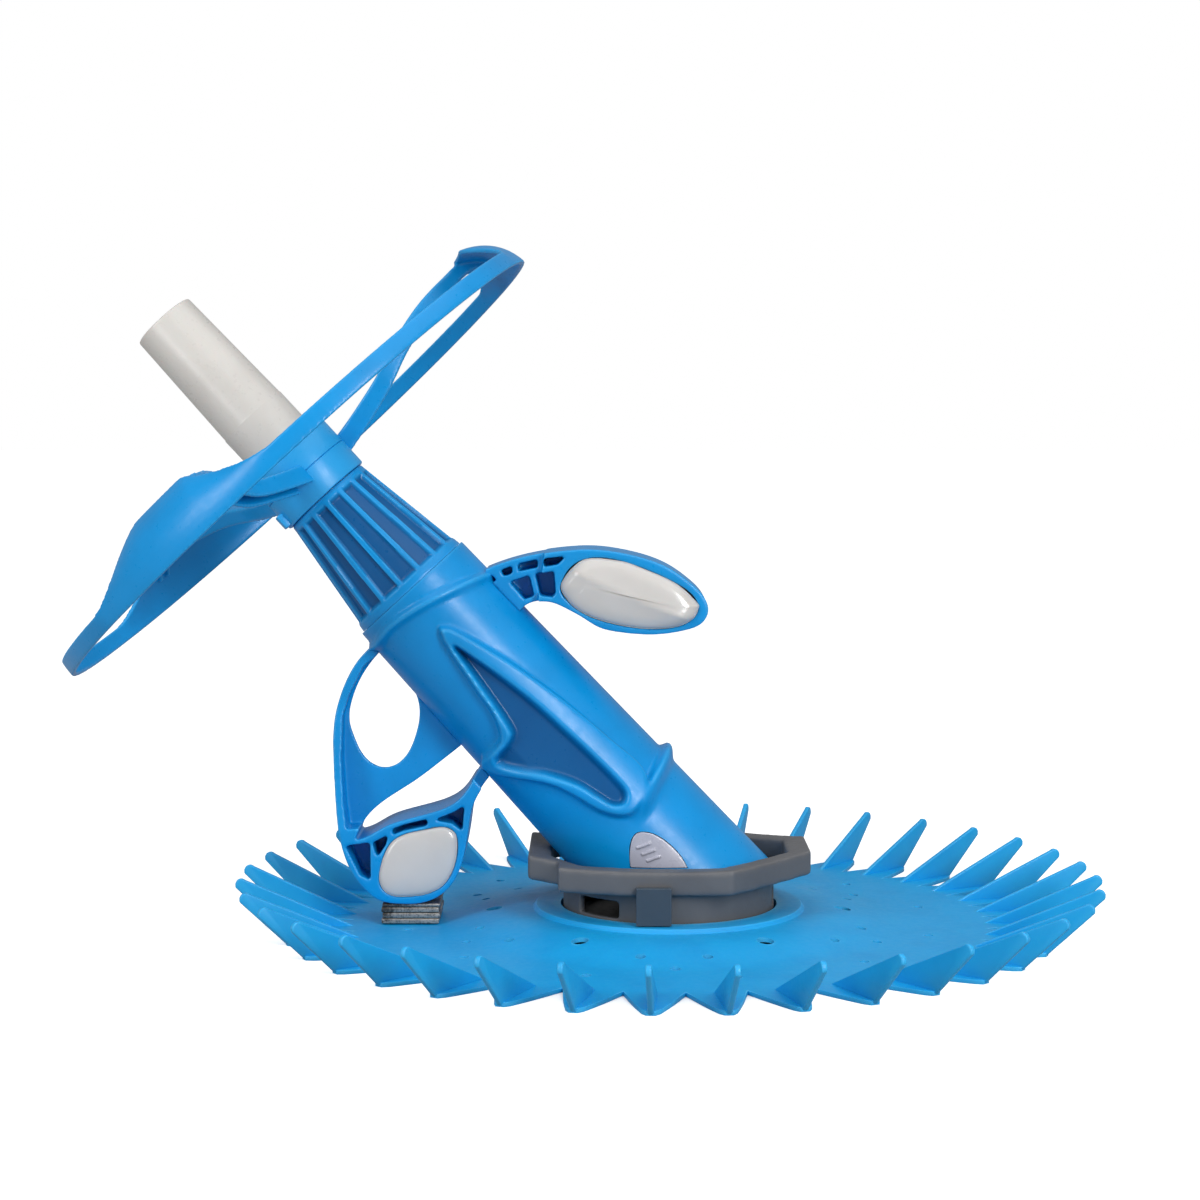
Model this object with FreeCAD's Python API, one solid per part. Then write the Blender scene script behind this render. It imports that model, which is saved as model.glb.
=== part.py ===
import FreeCAD, Part

import math
import os

# Disc-type suction pool cleaner. Millimetres, +Z up, origin on the floor at the disc's spin axis.

# ---- Driving dimensions ----
TUBE_ANGLE = 47.33          # slope of the tube above the floor, degrees
TUBE_FOOT_X = 29.2          # where the tube's axis meets the floor
TUBE_R_FOOT = 41.1          # outer radius of the body tube at the floor
TUBE_TAPER = 0.0218         # radius lost for each millimetre up the tube
TUBE_WALL = 3.0
TUBE_TOP = 243.5            # stations along the tube's axis
COLLAR_BOTTOM, COLLAR_TOP = 244.1, 309.2
COLLAR_R_BOTTOM, COLLAR_R_TOP = 33.8, 24.2
HUB_BOTTOM, HUB_TOP, HUB_R = 310.3, 340.4, 26.0
PIPE_R, PIPE_BORE = 20.0, 16.5
CONNECTOR_BASE, CONNECTOR_TOP = 341.0, 434.0
LAND_R, LAND_TOP = 19.5, 366.0
TAIL_R_BOTTOM, TAIL_R_TOP, CONNECTOR_BORE = 19.2, 17.4, 14.2

RIM_R, RIM_BOTTOM, RIM_TOP, RIM_WALL = 160.0, 328.5, 338.0, 3.0
PETAL_R, PETAL_TOP = 138.0, 357.0
WHEEL_ARMS = 3
RUNNING_GAP = 0.06

FIN_COUNT, FIN_PHASE = 36, -93.8
TOOTH_R, VALLEY_R, FIN_TIP_R, FIN_TIP_Z = 205.0, 168.0, 228.7, 28.3
DISC_THICK = 2.2
DISC_HOLE_R, FLANGE_R, FLANGE_TOP = 57.5, 71.3, 11.0
SKIRT_R, SKIRT_WALL, LIP_R = 56.0, 3.5, 66.0
THROAT_R, THROAT_LENGTH = 24.0, 6.0
PLATE_BOTTOM, PLATE_TOP, TUBE_CUT = 26.0, 29.5, 31.0
RING_HALF_X, RING_HALF_Y, RING_BAR = 74.0, 62.0, 12.0
LATCH_TRAVEL_GAP = 0.5

BUMPER_HALF = 20.0          # half width of the two chambers
ARC_HALF = 9.0              # half width of the rear arc's flange
WEB_HALF = 1.6

Vec = FreeCAD.Vector
UP = Vec(0, 0, 1)
ACROSS = Vec(0, 1, 0)
TUBE_FRAME = FreeCAD.Placement(Vec(TUBE_FOOT_X, 0, 0), FreeCAD.Rotation(ACROSS, TUBE_ANGLE - 90))


def on_tube(shape):
    """Carry a shape drawn about a vertical axis onto the slanted tube."""
    placed = shape.copy()
    placed.Placement = TUBE_FRAME.multiply(placed.Placement)
    return placed


def tube_radius(station):
    return TUBE_R_FOOT - TUBE_TAPER * station


def cylinder(radius, bottom, top):
    return Part.makeCylinder(radius, top - bottom, Vec(0, 0, bottom), UP)


def pipe(outer, inner, bottom, top):
    return cylinder(outer, bottom, top).cut(cylinder(inner, bottom - 1, top + 1))


def frustum(r_bottom, r_top, bottom, top):
    return Part.makeCone(r_bottom, r_top, top - bottom, Vec(0, 0, bottom), UP)


def tube_cone(extra, bottom, top):
    """The tube's tapered outside, grown by extra, between two stations."""
    return frustum(tube_radius(bottom) + extra, tube_radius(top) + extra, bottom, top)


def box(low, high):
    return Part.makeBox(high[0] - low[0], high[1] - low[1], high[2] - low[2], Vec(*low))


def revolved(profile, start=0.0, angle=360.0):
    """Turn a profile of (radius, height) points about the vertical axis."""
    points = [Vec(r, 0, z) for r, z in profile]
    face = Part.Face(Part.makePolygon(points + points[:1]))
    shape = face.revolve(Vec(0, 0, 0), UP, angle)
    shape.rotate(Vec(0, 0, 0), UP, start)
    return shape


def spline_loop(points):
    """Smooth closed outline in the XZ plane."""
    curve = Part.BSplineCurve()
    curve.interpolate([Vec(x, 0, z) for x, z in points], PeriodicFlag=True)
    return Part.Wire([curve.toShape()])


def mixed_loop(curves):
    """Closed outline in the XZ plane from smooth stretches that meet end to end."""
    edges = []
    for points in curves:
        vectors = [Vec(x, 0, z) for x, z in points]
        if len(vectors) == 2:
            edges.append(Part.makeLine(vectors[0], vectors[1]))
        else:
            curve = Part.BSplineCurve()
            curve.interpolate(vectors)
            edges.append(curve.toShape())
    return Part.Wire(edges)


def polygon(points):
    vectors = [Vec(x, 0, z) for x, z in points]
    return Part.makePolygon(vectors + vectors[:1])


def slab(outline, half, near=None):
    """Thicken an XZ outline from -half to +half, or from near to half."""
    low = -half if near is None else near
    solid = Part.Face(outline).extrude(Vec(0, half - low, 0))
    solid.translate(Vec(0, low, 0))
    return solid


def both_sides(shape):
    """The shape and its mirror image across the XZ plane."""
    return [shape, shape.mirror(Vec(0, 0, 0), ACROSS)]


def turned(shape, count):
    """Copies spread evenly about the vertical axis."""
    copies = []
    for index in range(count):
        copy = shape.copy()
        copy.rotate(Vec(0, 0, 0), UP, 360.0 * index / count)
        copies.append(copy)
    return copies


def inset(points, distance):
    """Move a closed outline's sides inwards by a distance, with mitred corners."""
    turning = 0.0
    directions = []
    for (x, z), (next_x, next_z) in zip(points, points[1:] + points[:1]):
        length = math.hypot(next_x - x, next_z - z)
        directions.append(((next_x - x) / length, (next_z - z) / length))
        turning += x * next_z - next_x * z
    inwards = distance if turning > 0 else -distance
    moved = []
    for index, (x, z) in enumerate(points):
        (run_in, rise_in), (run_out, rise_out) = directions[index - 1], directions[index]
        mitre = inwards / (1.0 + run_in * run_out + rise_in * rise_out)
        moved.append((x - mitre * (rise_in + rise_out), z + mitre * (run_in + run_out)))
    return moved


# ---- Outlines in the XZ plane ----
RIDGE = [(-152.1, 151.6), (-144.8, 161.0), (-132.7, 169.8), (-117.9, 177.6), (-101.5, 184.2), (-90.0, 187.2)]
ARC_OUTER = [(-152.1, 151.6), (-164.8, 140.0), (-172.4, 125.2), (-176.1, 111.9), (-176.8, 89.6),
             (-175.4, 66.7), (-173.0, 47.5), (-167.0, 30.5), (-158.0, 19.4)]
LOWER_OUTER = [(-158.0, 19.4), (-151.0, 15.0), (-143.8, 13.8), (-131.7, 14.0), (-121.2, 17.8), (-114.2, 24.5),
               (-109.4, 34.0), (-107.0, 43.8), (-105.5, 52.8), (-103.8, 63.4), (-99.6, 73.0), (-93.9, 80.6)]
OVAL = [(-152.0, 146.0), (-161.5, 134.0), (-168.0, 119.0), (-169.3, 108.6), (-166.8, 99.6), (-160.4, 88.0),
        (-152.4, 83.6), (-146.0, 84.4), (-138.6, 91.0), (-134.2, 101.2), (-132.2, 111.5), (-133.5, 121.0),
        (-141.5, 134.0)]
SECOND_TOP = [(-165.0, 47.6), (-161.7, 55.2), (-152.0, 65.0), (-135.8, 75.6), (-119.6, 87.8), (-104.0, 100.0)]
SECOND_LOW = [(-92.0, 91.0), (-103.3, 79.0), (-108.2, 71.6), (-113.0, 67.2), (-122.7, 62.8), (-138.9, 58.4),
              (-149.5, 54.6), (-157.2, 50.2), (-165.0, 47.6)]
WEIGHT_COVER = [(-152.5, 28.0), (-150.6, 37.6), (-146.2, 46.2), (-139.4, 50.6), (-128.4, 53.2), (-119.0, 54.6),
                (-113.2, 52.2), (-111.4, 47.4), (-112.0, 38.0), (-114.8, 29.6), (-119.6, 23.2), (-126.9, 19.4),
                (-134.7, 18.0), (-144.6, 18.0), (-150.4, 21.4)]
HANDLE_OUTER = [(-96.4, 189.6), (-81.2, 195.0), (-65.6, 198.4), (-52.4, 200.0), (-36.9, 200.2), (-26.5, 198.8),
                (-13.6, 195.8), (-0.6, 190.6), (10.6, 182.8), (18.4, 174.2), (19.9, 168.2), (16.7, 162.0),
                (8.0, 158.2), (-5.0, 156.1), (-17.9, 156.2), (-28.2, 157.4), (-36.9, 159.6), (-45.6, 164.8),
                (-53.3, 169.1), (-61.1, 172.5), (-67.2, 173.2), (-75.4, 170.8), (-80.0, 163.0)]
FLOAT_COVER = [(-56.7, 182.6), (-45.3, 195.0), (-26.7, 194.6), (-13.8, 190.4), (3.2, 182.6), (14.0, 172.8),
               (14.6, 169.2), (11.6, 164.0), (3.3, 160.0), (-9.6, 158.9), (-21.5, 160.0), (-35.0, 163.0),
               (-45.4, 167.2), (-53.1, 173.4)]
POCKET_OUTER = [(-117.5, 160.0), (-92.0, 146.8), (-64.5, 127.4), (-46.1, 112.4), (-32.4, 100.4), (-17.0, 86.6),
                (-14.2, 76.0), (-20.0, 66.6), (-28.0, 65.6), (-37.3, 68.8), (-51.1, 77.2), (-65.0, 82.8),
                (-95.5, 88.6), (-86.0, 103.0), (-90.0, 117.6), (-99.5, 131.0)]
POCKET_INNER = [(-111.9, 152.2), (-96.8, 142.4), (-74.0, 124.8), (-55.7, 108.2), (-41.9, 95.2), (-29.9, 83.2),
                (-24.0, 76.0), (-24.6, 70.4), (-30.2, 69.8), (-37.4, 74.0), (-48.4, 80.6), (-65.0, 86.2),
                (-88.6, 91.4), (-82.4, 103.6), (-83.8, 111.4), (-101.4, 137.0)]
LATCH_TOP = [(-20.6, 36.8), (-20.8, 48.0), (-17.6, 54.6), (-10.4, 54.6), (-2.2, 50.0), (4.6, 43.4), (8.6, 36.8)]


def body_tube():
    """Slanted shell with the side pockets, the ridge, the lower band, the neck and the latch windows."""
    below = -40.0
    shell = tube_cone(0, below, TUBE_TOP)
    bore = tube_cone(-TUBE_WALL, below - 1, TUBE_TOP - 4)
    neck = cylinder(28.0, TUBE_TOP - 1, TUBE_TOP + 16)
    pipe_hole = cylinder(PIPE_R, TUBE_TOP - 20, TUBE_TOP + 20)
    outside = on_tube(shell.fuse(neck))
    hollow = on_tube(bore.fuse(pipe_hole))
    ridge = tube_ridge()
    pockets = pocket_walls()
    band = lower_band()
    solid = outside.fuse([ridge, band] + pockets)
    solid = solid.cut(hollow)
    solid = solid.cut(box((-400, -200, -200), (400, 200, TUBE_CUT)))
    for window in both_sides(slab(latch_outline(LATCH_TRAVEL_GAP), -20.0, -60.0)):
        solid = solid.cut(window)
    return solid.removeSplitter()


def tube_ridge():
    """A rib that crosses the tube's sides from the rear arc to the handle, a little proud of them."""
    width, height = 3.6, 2.6
    lower = [(x + 0.35 * width, z - 0.94 * width) for x, z in RIDGE]
    outline = mixed_loop([RIDGE, [RIDGE[-1], lower[-1]], lower[::-1], [lower[0], RIDGE[0]]])
    strip = slab(outline, 60.0)
    return strip.common(on_tube(tube_cone(height, 150.0, TUBE_TOP - 0.5)))


def pocket_walls():
    """Raised walls around the flat-floored pocket on each side of the tube."""
    rim = slab(polygon(POCKET_OUTER), -20.0, -60.0)
    rim = rim.cut(slab(polygon(POCKET_INNER), -19.0, -61.0))
    rim = rim.common(on_tube(tube_cone(5.5, 40.0, TUBE_TOP - 2)))
    return both_sides(rim)


def lower_band():
    """Oblique half band that wraps the upper side of the tube below the pockets."""
    band = pipe(44.2, 34.0, -4.0, 4.0)
    band = band.common(box((12, -60, -20), (60, 60, 20)))
    band.rotate(Vec(0, 0, 0), ACROSS, -15.0)
    band.translate(Vec(0, 0, 85.0))
    return on_tube(band)


def latch_outline(grow):
    """Half-ellipse outline of the latch button, grown all round."""
    points = inset(LATCH_TOP, -grow)
    return mixed_loop([points, [points[-1], points[0]]])


def latch_button():
    """Silver-grey press button that follows the tube's side, with three slanted finger ridges."""
    blank = slab(latch_outline(0), -31.0, -60.0)
    button = blank.common(on_tube(tube_cone(0.6, 10.0, 100.0)))
    for index in range(3):
        rib = box((-3.6, -41.6, -0.6), (3.6, -38.0, 0.6))
        rib.rotate(Vec(0, 0, 0), ACROSS, -20.0)
        rib.translate(Vec(-14.2 + 2.6 * index, 0, 48.5 - 3.4 * index))
        button = button.fuse(rib.common(slab(latch_outline(0), -31.0, -41.2)))
    return button.removeSplitter()


def frame_outline():
    """Outer outline of the rear arc and lower bumper, closed inside the tube."""
    closing = [(-60.0, 74.0), (-100.0, 150.0)]
    return mixed_loop([ARC_OUTER, LOWER_OUTER, [LOWER_OUTER[-1], closing[0]], closing, [closing[1], ARC_OUTER[0]]])


def second_opening():
    return mixed_loop([SECOND_TOP, [SECOND_TOP[-1], SECOND_LOW[0]], SECOND_LOW])


def bumper_frame():
    """Rear arc, flat web and lower bumper, moulded in one, standing off the tube's lower side."""
    outline = frame_outline()
    outer = slab(outline, BUMPER_HALF)
    lower_zone = slab(polygon([(-185, 5), (-185, 52), (-160, 54), (-104, 86), (-60, 86), (-60, 5)]), BUMPER_HALF)
    chamber = outer.common(lower_zone).cut(slab(second_opening(), 40.0))
    chamber = chamber.cut(on_tube(tube_cone(9.0, 20.0, TUBE_TOP)))
    web = slab(outline, WEB_HALF)
    flange = slab(outline, ARC_HALF).cut(slab(polygon(inner_arc()), 30.0))
    solid = web.fuse([flange, arc_flare(outline), chamber])
    solid = solid.cut(slab(spline_loop(OVAL), 40.0)).cut(slab(second_opening(), 40.0))
    solid = solid.cut(slab(spline_loop(WEIGHT_COVER), 40.0))
    for corners in lower_cells():
        for side in both_sides(slab(polygon(corners), -WEB_HALF, -40.0)):
            solid = solid.cut(side)
    solid = solid.cut(on_tube(tube_cone(0.0, 0.0, TUBE_TOP)))
    return largest(solid)


def arc_flare(outline):
    """The arc's flange where it widens downwards to the chambers' width."""
    corners = [(-BUMPER_HALF, 40.0), (-BUMPER_HALF, 52.0), (-ARC_HALF, 118.0), (ARC_HALF, 118.0),
               (BUMPER_HALF, 52.0), (BUMPER_HALF, 40.0)]
    points = [Vec(-190.0, y, z) for y, z in corners]
    wedge = Part.Face(Part.makePolygon(points + points[:1])).extrude(Vec(34.0, 0, 0))
    return slab(outline, BUMPER_HALF).cut(slab(polygon(inner_arc()), 30.0)).common(wedge)


def inner_arc():
    """Polygon inside the rear arc's flange, so that the flange keeps its own thickness."""
    inside = [(x + 4.0 if z > 100 else x + 4.2, z - 1.5 if z > 120 else z) for x, z in ARC_OUTER[1:7]]
    return inside + [(-160.0, 52.0), (-140.0, 60.0), (-118.0, 70.0), (-100.0, 88.0), (-60.0, 74.0),
                     (-100.0, 150.0), (-146.0, 150.0)]


def lower_cells():
    """Corner points of the open cells between the bumper's outer wall and its chamber."""
    return [[(-170.2, 44.6), (-157.2, 46.4), (-157.0, 26.0), (-162.5, 29.0)],
            [(-156.0, 46.2), (-147.5, 50.6), (-149.0, 45.0), (-153.6, 38.0)],
            [(-145.5, 50.2), (-139.6, 52.6), (-127.0, 55.2), (-127.0, 58.8), (-139.0, 56.0), (-145.5, 53.6)],
            [(-123.8, 58.2), (-113.0, 62.6), (-107.6, 66.0), (-108.8, 52.4), (-114.0, 56.4)]]


def largest(shape):
    """Keep the biggest solid of a cut."""
    return max(shape.Solids, key=lambda solid: solid.Volume)


def upper_handle():
    """Hooked arm on the tube's upper side: a celled arm that ends in the oval float chamber."""
    closing = [HANDLE_OUTER[-1], (-100.0, 160.0)]
    outline = mixed_loop([HANDLE_OUTER, closing, [closing[1], HANDLE_OUTER[0]]])
    solid = slab(outline, BUMPER_HALF)
    narrow = slab(polygon([(-120, 150), (-120, 210), (-64, 210), (-72, 150)]), 60.0)
    solid = solid.cut(narrow).fuse(slab(outline, BUMPER_HALF - 6.0).common(narrow))
    solid = solid.cut(slab(spline_loop(FLOAT_COVER), 60.0))
    for corners in upper_cells():
        for side in both_sides(slab(polygon(corners), -WEB_HALF, -40.0)):
            solid = solid.cut(side)
    solid = solid.cut(on_tube(tube_cone(0.0, 100.0, TUBE_TOP)))
    return largest(solid.cut(tube_ridge()))


def upper_cells():
    """Corner points of the open cells in the handle's arm."""
    return [[(-88.4, 189.2), (-82.4, 191.6), (-82.4, 187.4), (-87.0, 185.8)],
            [(-79.4, 192.6), (-69.0, 195.0), (-69.0, 190.6), (-79.4, 188.4)],
            [(-66.0, 195.6), (-54.0, 197.0), (-58.6, 192.4), (-66.0, 191.2)],
            [(-84.0, 183.2), (-73.4, 186.6), (-70.8, 175.6), (-76.0, 173.8)],
            [(-70.4, 187.4), (-60.4, 189.2), (-59.6, 177.6), (-61.2, 175.4), (-67.8, 176.2)]]


def cover_pair(points, name, height):
    """The two outside covers of a chamber: a domed shell with a spigot that plugs the chamber."""
    lip = slab(spline_loop(inset(points, 0.15)), -BUMPER_HALF + 3.0, -BUMPER_HALF - 0.6)
    crown = slab(spline_loop(inset(points, 2.6)), -BUMPER_HALF - 0.6, -BUMPER_HALF - height)
    near, far = both_sides(lip.fuse(crown).removeSplitter())
    return {name + "_cover_near": near, name + "_cover_far": far}


def chamber_filling(points):
    """Block that fills a chamber between its two covers."""
    return slab(spline_loop(inset(points, 1.2)), BUMPER_HALF - 3.2)


def ballast_plates():
    """Four stacked plates under the lower bumper."""
    plates = []
    count, bottom, top, gap = 4, 2.9, 14.6, 0.3
    pitch = (top - bottom + gap) / count
    for index in range(count):
        step = 0.5 * (index % 2)
        low = bottom + index * pitch
        plates.append(box((-151.6 + step, -18.0, low), (-121.4 + step, 18.0, low + pitch - gap)))
    plates[-1] = plates[-1].cut(slab(frame_outline(), BUMPER_HALF))
    return Part.makeCompound(plates)


def ring_outline(points):
    """Closed outline in the floor plane from its far half and that half's mirror image."""
    mirrored = [(x, -y) for x, y in points[::-1]]
    vectors = [Vec(x, y, 0) for x, y in points + mirrored]
    return Part.makePolygon(vectors + vectors[:1])


def foot_ring():
    """Soft octagonal bumper around the tube's foot; its ends rise a little."""
    band = mixed_loop([[(-90, 32.0), (-45, 27.2), (0, 25.6), (45, 27.2), (90, 32.0)], [(90, 32.0), (90, 45.0)],
                       [(90, 45.0), (45, 40.0), (0, 38.5), (-45, 40.0), (-90, 45.0)], [(-90, 45.0), (-90, 32.0)]])
    band = slab(band, 80.0)
    reach, side, bar = RING_HALF_X, RING_HALF_Y, RING_BAR
    outer_half = [(reach, 22.3), (31.0, side), (-58.0, side), (-58.0, 44.0), (-reach, 36.0)]
    inner_half = [(reach - bar, 18.0), (26.0, side - bar), (-46.0, side - bar), (bar - reach, 28.0)]
    outer = Part.Face(ring_outline(outer_half)).extrude(Vec(0, 0, 60))
    inner = Part.Face(ring_outline(inner_half)).extrude(Vec(0, 0, 60))
    ring = band.common(outer.cut(inner))
    ring = ring.cut(on_tube(tube_cone(0.3, 0.0, 120.0)))
    return ring.cut(cylinder(SKIRT_R + 5.0, PLATE_BOTTOM - 3.0, PLATE_TOP + 0.2))


def foot_skirt():
    """Foot: base plate with the throat, skirt wall with inlet windows, top plate and retaining lip."""
    base = revolved([(THROAT_R, 0), (LIP_R - 4, 0), (LIP_R, 1.2), (LIP_R, 4.0), (SKIRT_R, 4.6),
                     (SKIRT_R - SKIRT_WALL, 6.0), (THROAT_R, THROAT_LENGTH)])
    wall = pipe(SKIRT_R, SKIRT_R - SKIRT_WALL, 4.0, PLATE_BOTTOM + 1)
    plate = cylinder(SKIRT_R + 5.0, PLATE_BOTTOM, PLATE_TOP)
    hole = on_tube(tube_cone(-TUBE_WALL - 2.0, 0.0, 120.0))
    skirt = base.fuse([wall, plate.cut(hole)])
    for middle, half in ((133, 14), (227, 14), (352, 6), (8, 6)):
        window = revolved([(SKIRT_R - 9, 12.0), (SKIRT_R + 9, 12.0), (SKIRT_R + 9, 20.8), (SKIRT_R - 9, 20.8)],
                          middle - half, 2 * half)
        skirt = skirt.cut(window)
    return skirt.removeSplitter()


def foot_seal():
    """Flat gasket between the tube's cut end and the foot's top plate."""
    band = on_tube(tube_cone(0.0, 0.0, 120.0)).cut(on_tube(tube_cone(-TUBE_WALL, -5.0, 125.0)))
    return largest(band.common(box((-90, -60, PLATE_TOP), (90, 60, TUBE_CUT))))


def foot_hooks():
    """Two flat hooks that clip the foot ring to the skirt, one on each side."""
    hook = box((-18.2, -RING_HALF_Y - 3.6, FLANGE_TOP + 0.5), (-0.2, -RING_HALF_Y, PLATE_TOP + 1.5))
    shelf = box((-18.2, -RING_HALF_Y, 21.0), (-0.2, -SKIRT_R - 0.0, 24.4))
    return Part.makeCompound(both_sides(hook.fuse(shelf).cut(cylinder(SKIRT_R, 0, 40)).removeSplitter()))


def disc_web():
    """Domed web of the disc with its raised centre flange."""
    under, top = [], []
    first, last, steps, rise = 78.0, 128.0, 8, 6.6
    for index in range(steps + 1):
        share = index / steps
        radius = first + (last - first) * share
        height = 0.5 * rise * (1 + math.cos(math.pi * share))
        under.append((radius, height))
        top.append((radius, height + DISC_THICK))
    profile = [(DISC_HOLE_R, rise + 0.4), (FLANGE_R, rise + 0.4), (FLANGE_R + 1.5, rise)] + under
    profile += [(152.0, 0.0), (152.0, DISC_THICK)] + top[::-1]
    profile += [(FLANGE_R + 0.4, rise + DISC_THICK), (FLANGE_R, FLANGE_TOP - 0.8), (FLANGE_R - 0.8, FLANGE_TOP),
                (DISC_HOLE_R, FLANGE_TOP)]
    return revolved(profile)


def disc_teeth():
    """Flat toothed rim of the disc."""
    points = []
    for index in range(FIN_COUNT):
        middle = FIN_PHASE + 360.0 * index / FIN_COUNT
        for offset, radius in ((-4.6, VALLEY_R), (-0.9, TOOTH_R), (0.9, TOOTH_R), (4.6, VALLEY_R)):
            angle = math.radians(middle + offset)
            points.append(Vec(radius * math.cos(angle), radius * math.sin(angle), 0))
    rim = Part.Face(Part.makePolygon(points + points[:1])).extrude(Vec(0, 0, DISC_THICK))
    return rim.cut(cylinder(151.0, -1, 10))


def disc_fin():
    """One upright triangular fin with a rounded tip, drawn along +X."""
    half = 1.4
    profile = [(VALLEY_R - 2, DISC_THICK - 0.6), (TOOTH_R, 0.0), (FIN_TIP_R, FIN_TIP_Z - 4.6),
               (FIN_TIP_R - 0.4, FIN_TIP_Z - 1.4), (FIN_TIP_R - 2.6, FIN_TIP_Z), (FIN_TIP_R - 5.2, FIN_TIP_Z - 0.8)]
    return slab(polygon(profile), half)


def disc_holes():
    """Six large holes and the small drain holes of the web, as cutters."""
    cutters = []
    for index in range(6):
        cutters.append(hole_at(93.0, 60.0 * index, 4.4))
        for radius, offset in ((106.0, 21.0), (106.0, 39.0), (121.0, 30.0)):
            cutters.append(hole_at(radius, 60.0 * index + offset, 2.6))
    for index in range(12):
        cutters.append(hole_at(140.0, 30.0 * index + 12.0, 2.6))
    return cutters


def hole_at(radius, degrees, hole_radius):
    angle = math.radians(degrees)
    centre = Vec(radius * math.cos(angle), radius * math.sin(angle), -5)
    return Part.makeCylinder(hole_radius, 30, centre, UP)


def finned_disc():
    """The disc's web and flat teeth, one flexible moulding with the fins."""
    disc = disc_web().fuse(disc_teeth())
    return disc.cut(Part.makeCompound(disc_holes())).removeSplitter()


def disc_fins():
    """The upright fins of the disc, one on each tooth."""
    tooth = cylinder(TOOTH_R * math.cos(math.radians(0.9)), -1.0, DISC_THICK)
    fins = turned(disc_fin().cut(tooth), FIN_COUNT)
    for fin in fins:
        fin.rotate(Vec(0, 0, 0), UP, FIN_PHASE)
    return Part.makeCompound(fins)


def twist_collar():
    """Tapered hand collar: plain rim, sixteen raised ribs around a hollow cone."""
    wall = 2.6
    core = frustum(COLLAR_R_BOTTOM - 1.6, COLLAR_R_TOP - 1.6, COLLAR_BOTTOM, COLLAR_TOP)
    rim = cylinder(COLLAR_R_BOTTOM + 0.6, COLLAR_BOTTOM, COLLAR_BOTTOM + 5.0)
    top_rim = cylinder(COLLAR_R_TOP, COLLAR_TOP - 2.5, COLLAR_TOP)
    envelope = frustum(COLLAR_R_BOTTOM, COLLAR_R_TOP, COLLAR_BOTTOM, COLLAR_TOP)
    rib = box((20.0, -1.2, COLLAR_BOTTOM + 0.1), (COLLAR_R_BOTTOM + 2, 1.2, COLLAR_TOP - 0.1))
    ribs = [piece.common(envelope) for piece in turned(rib, 16)]
    outside = core.fuse([rim, top_rim] + ribs)
    inside = frustum(COLLAR_R_BOTTOM - wall - 1.6, COLLAR_R_TOP - wall - 1.2, COLLAR_BOTTOM - 1, COLLAR_TOP - 3)
    neck_room = cylinder(28.4, COLLAR_BOTTOM - 1, TUBE_TOP + 17)
    inside = inside.fuse(neck_room).fuse(cylinder(PIPE_R + 0.4, COLLAR_BOTTOM - 1, COLLAR_TOP + 1))
    return on_tube(outside.cut(inside).removeSplitter())


def around(radius, degrees, station):
    """Point on the wheel: 0 degrees faces -Y and 90 degrees faces up the tube's upper side."""
    angle = math.radians(degrees)
    return Vec(radius * math.sin(angle), -radius * math.cos(angle), station)


def smooth_step(value):
    value = min(1.0, max(0.0, value))
    return value * value * (3 - 2 * value)


def petal_rise(degrees):
    """Share of a petal's full height at an angle within its third of the rim."""
    fall = min(1.0, max(0.0, (5.0 - degrees) / 17.5)) ** 1.5
    return max(0.04, smooth_step((degrees + 45.0) / 19.5) * fall)


def rim_section(degrees, rise_at):
    """Closed section of the rim and petal wall at one angle."""
    rise = petal_rise(rise_at)
    top_r = RIM_R - 1.0 - (RIM_R - 1.0 - PETAL_R) * rise
    top_s = RIM_TOP + (PETAL_TOP - RIM_TOP) * rise
    mid_r, mid_s = RIM_R - 8.0 * rise, RIM_TOP - 1.5 + 11.5 * rise
    outline = [(RIM_R, RIM_BOTTOM), (mid_r, mid_s), (top_r, top_s), (top_r - 2.0, top_s - 1.6 - 0.8 * rise),
               (mid_r - RIM_WALL, mid_s - 1.0 - 1.2 * rise), (RIM_R - RIM_WALL, RIM_BOTTOM)]
    points = [around(radius, degrees, station) for radius, station in outline]
    return Part.makePolygon(points + points[:1])


def rim_wall(index):
    """A third of the wheel's rim with its petal, about a vertical axis."""
    start, span, steps = -87.0, 120.0, 40
    sections = []
    for step in range(steps + 1):
        local = start + span * step / steps
        sections.append(rim_section(local + 120.0 * index, local))
    return Part.makeLoft(sections, True, True)


def rim_sector(index):
    return on_tube(rim_wall(index))


def spoke_section(radius, degrees, station, width, height):
    """Channel section across a spoke, open towards the body."""
    centre = around(radius, degrees, station)
    side = around(1.0, degrees + 90.0, 0.0)
    wall = 2.2
    outline = [(-width / 2, -height / 2), (-width / 2, height / 2), (width / 2, height / 2),
               (width / 2, -height / 2), (width / 2 - wall, -height / 2), (width / 2 - wall, height / 2 - wall),
               (-width / 2 + wall, height / 2 - wall), (-width / 2 + wall, -height / 2)]
    points = [centre + side * across + UP * along for across, along in outline]
    return Part.makePolygon(points + points[:1])


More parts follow.
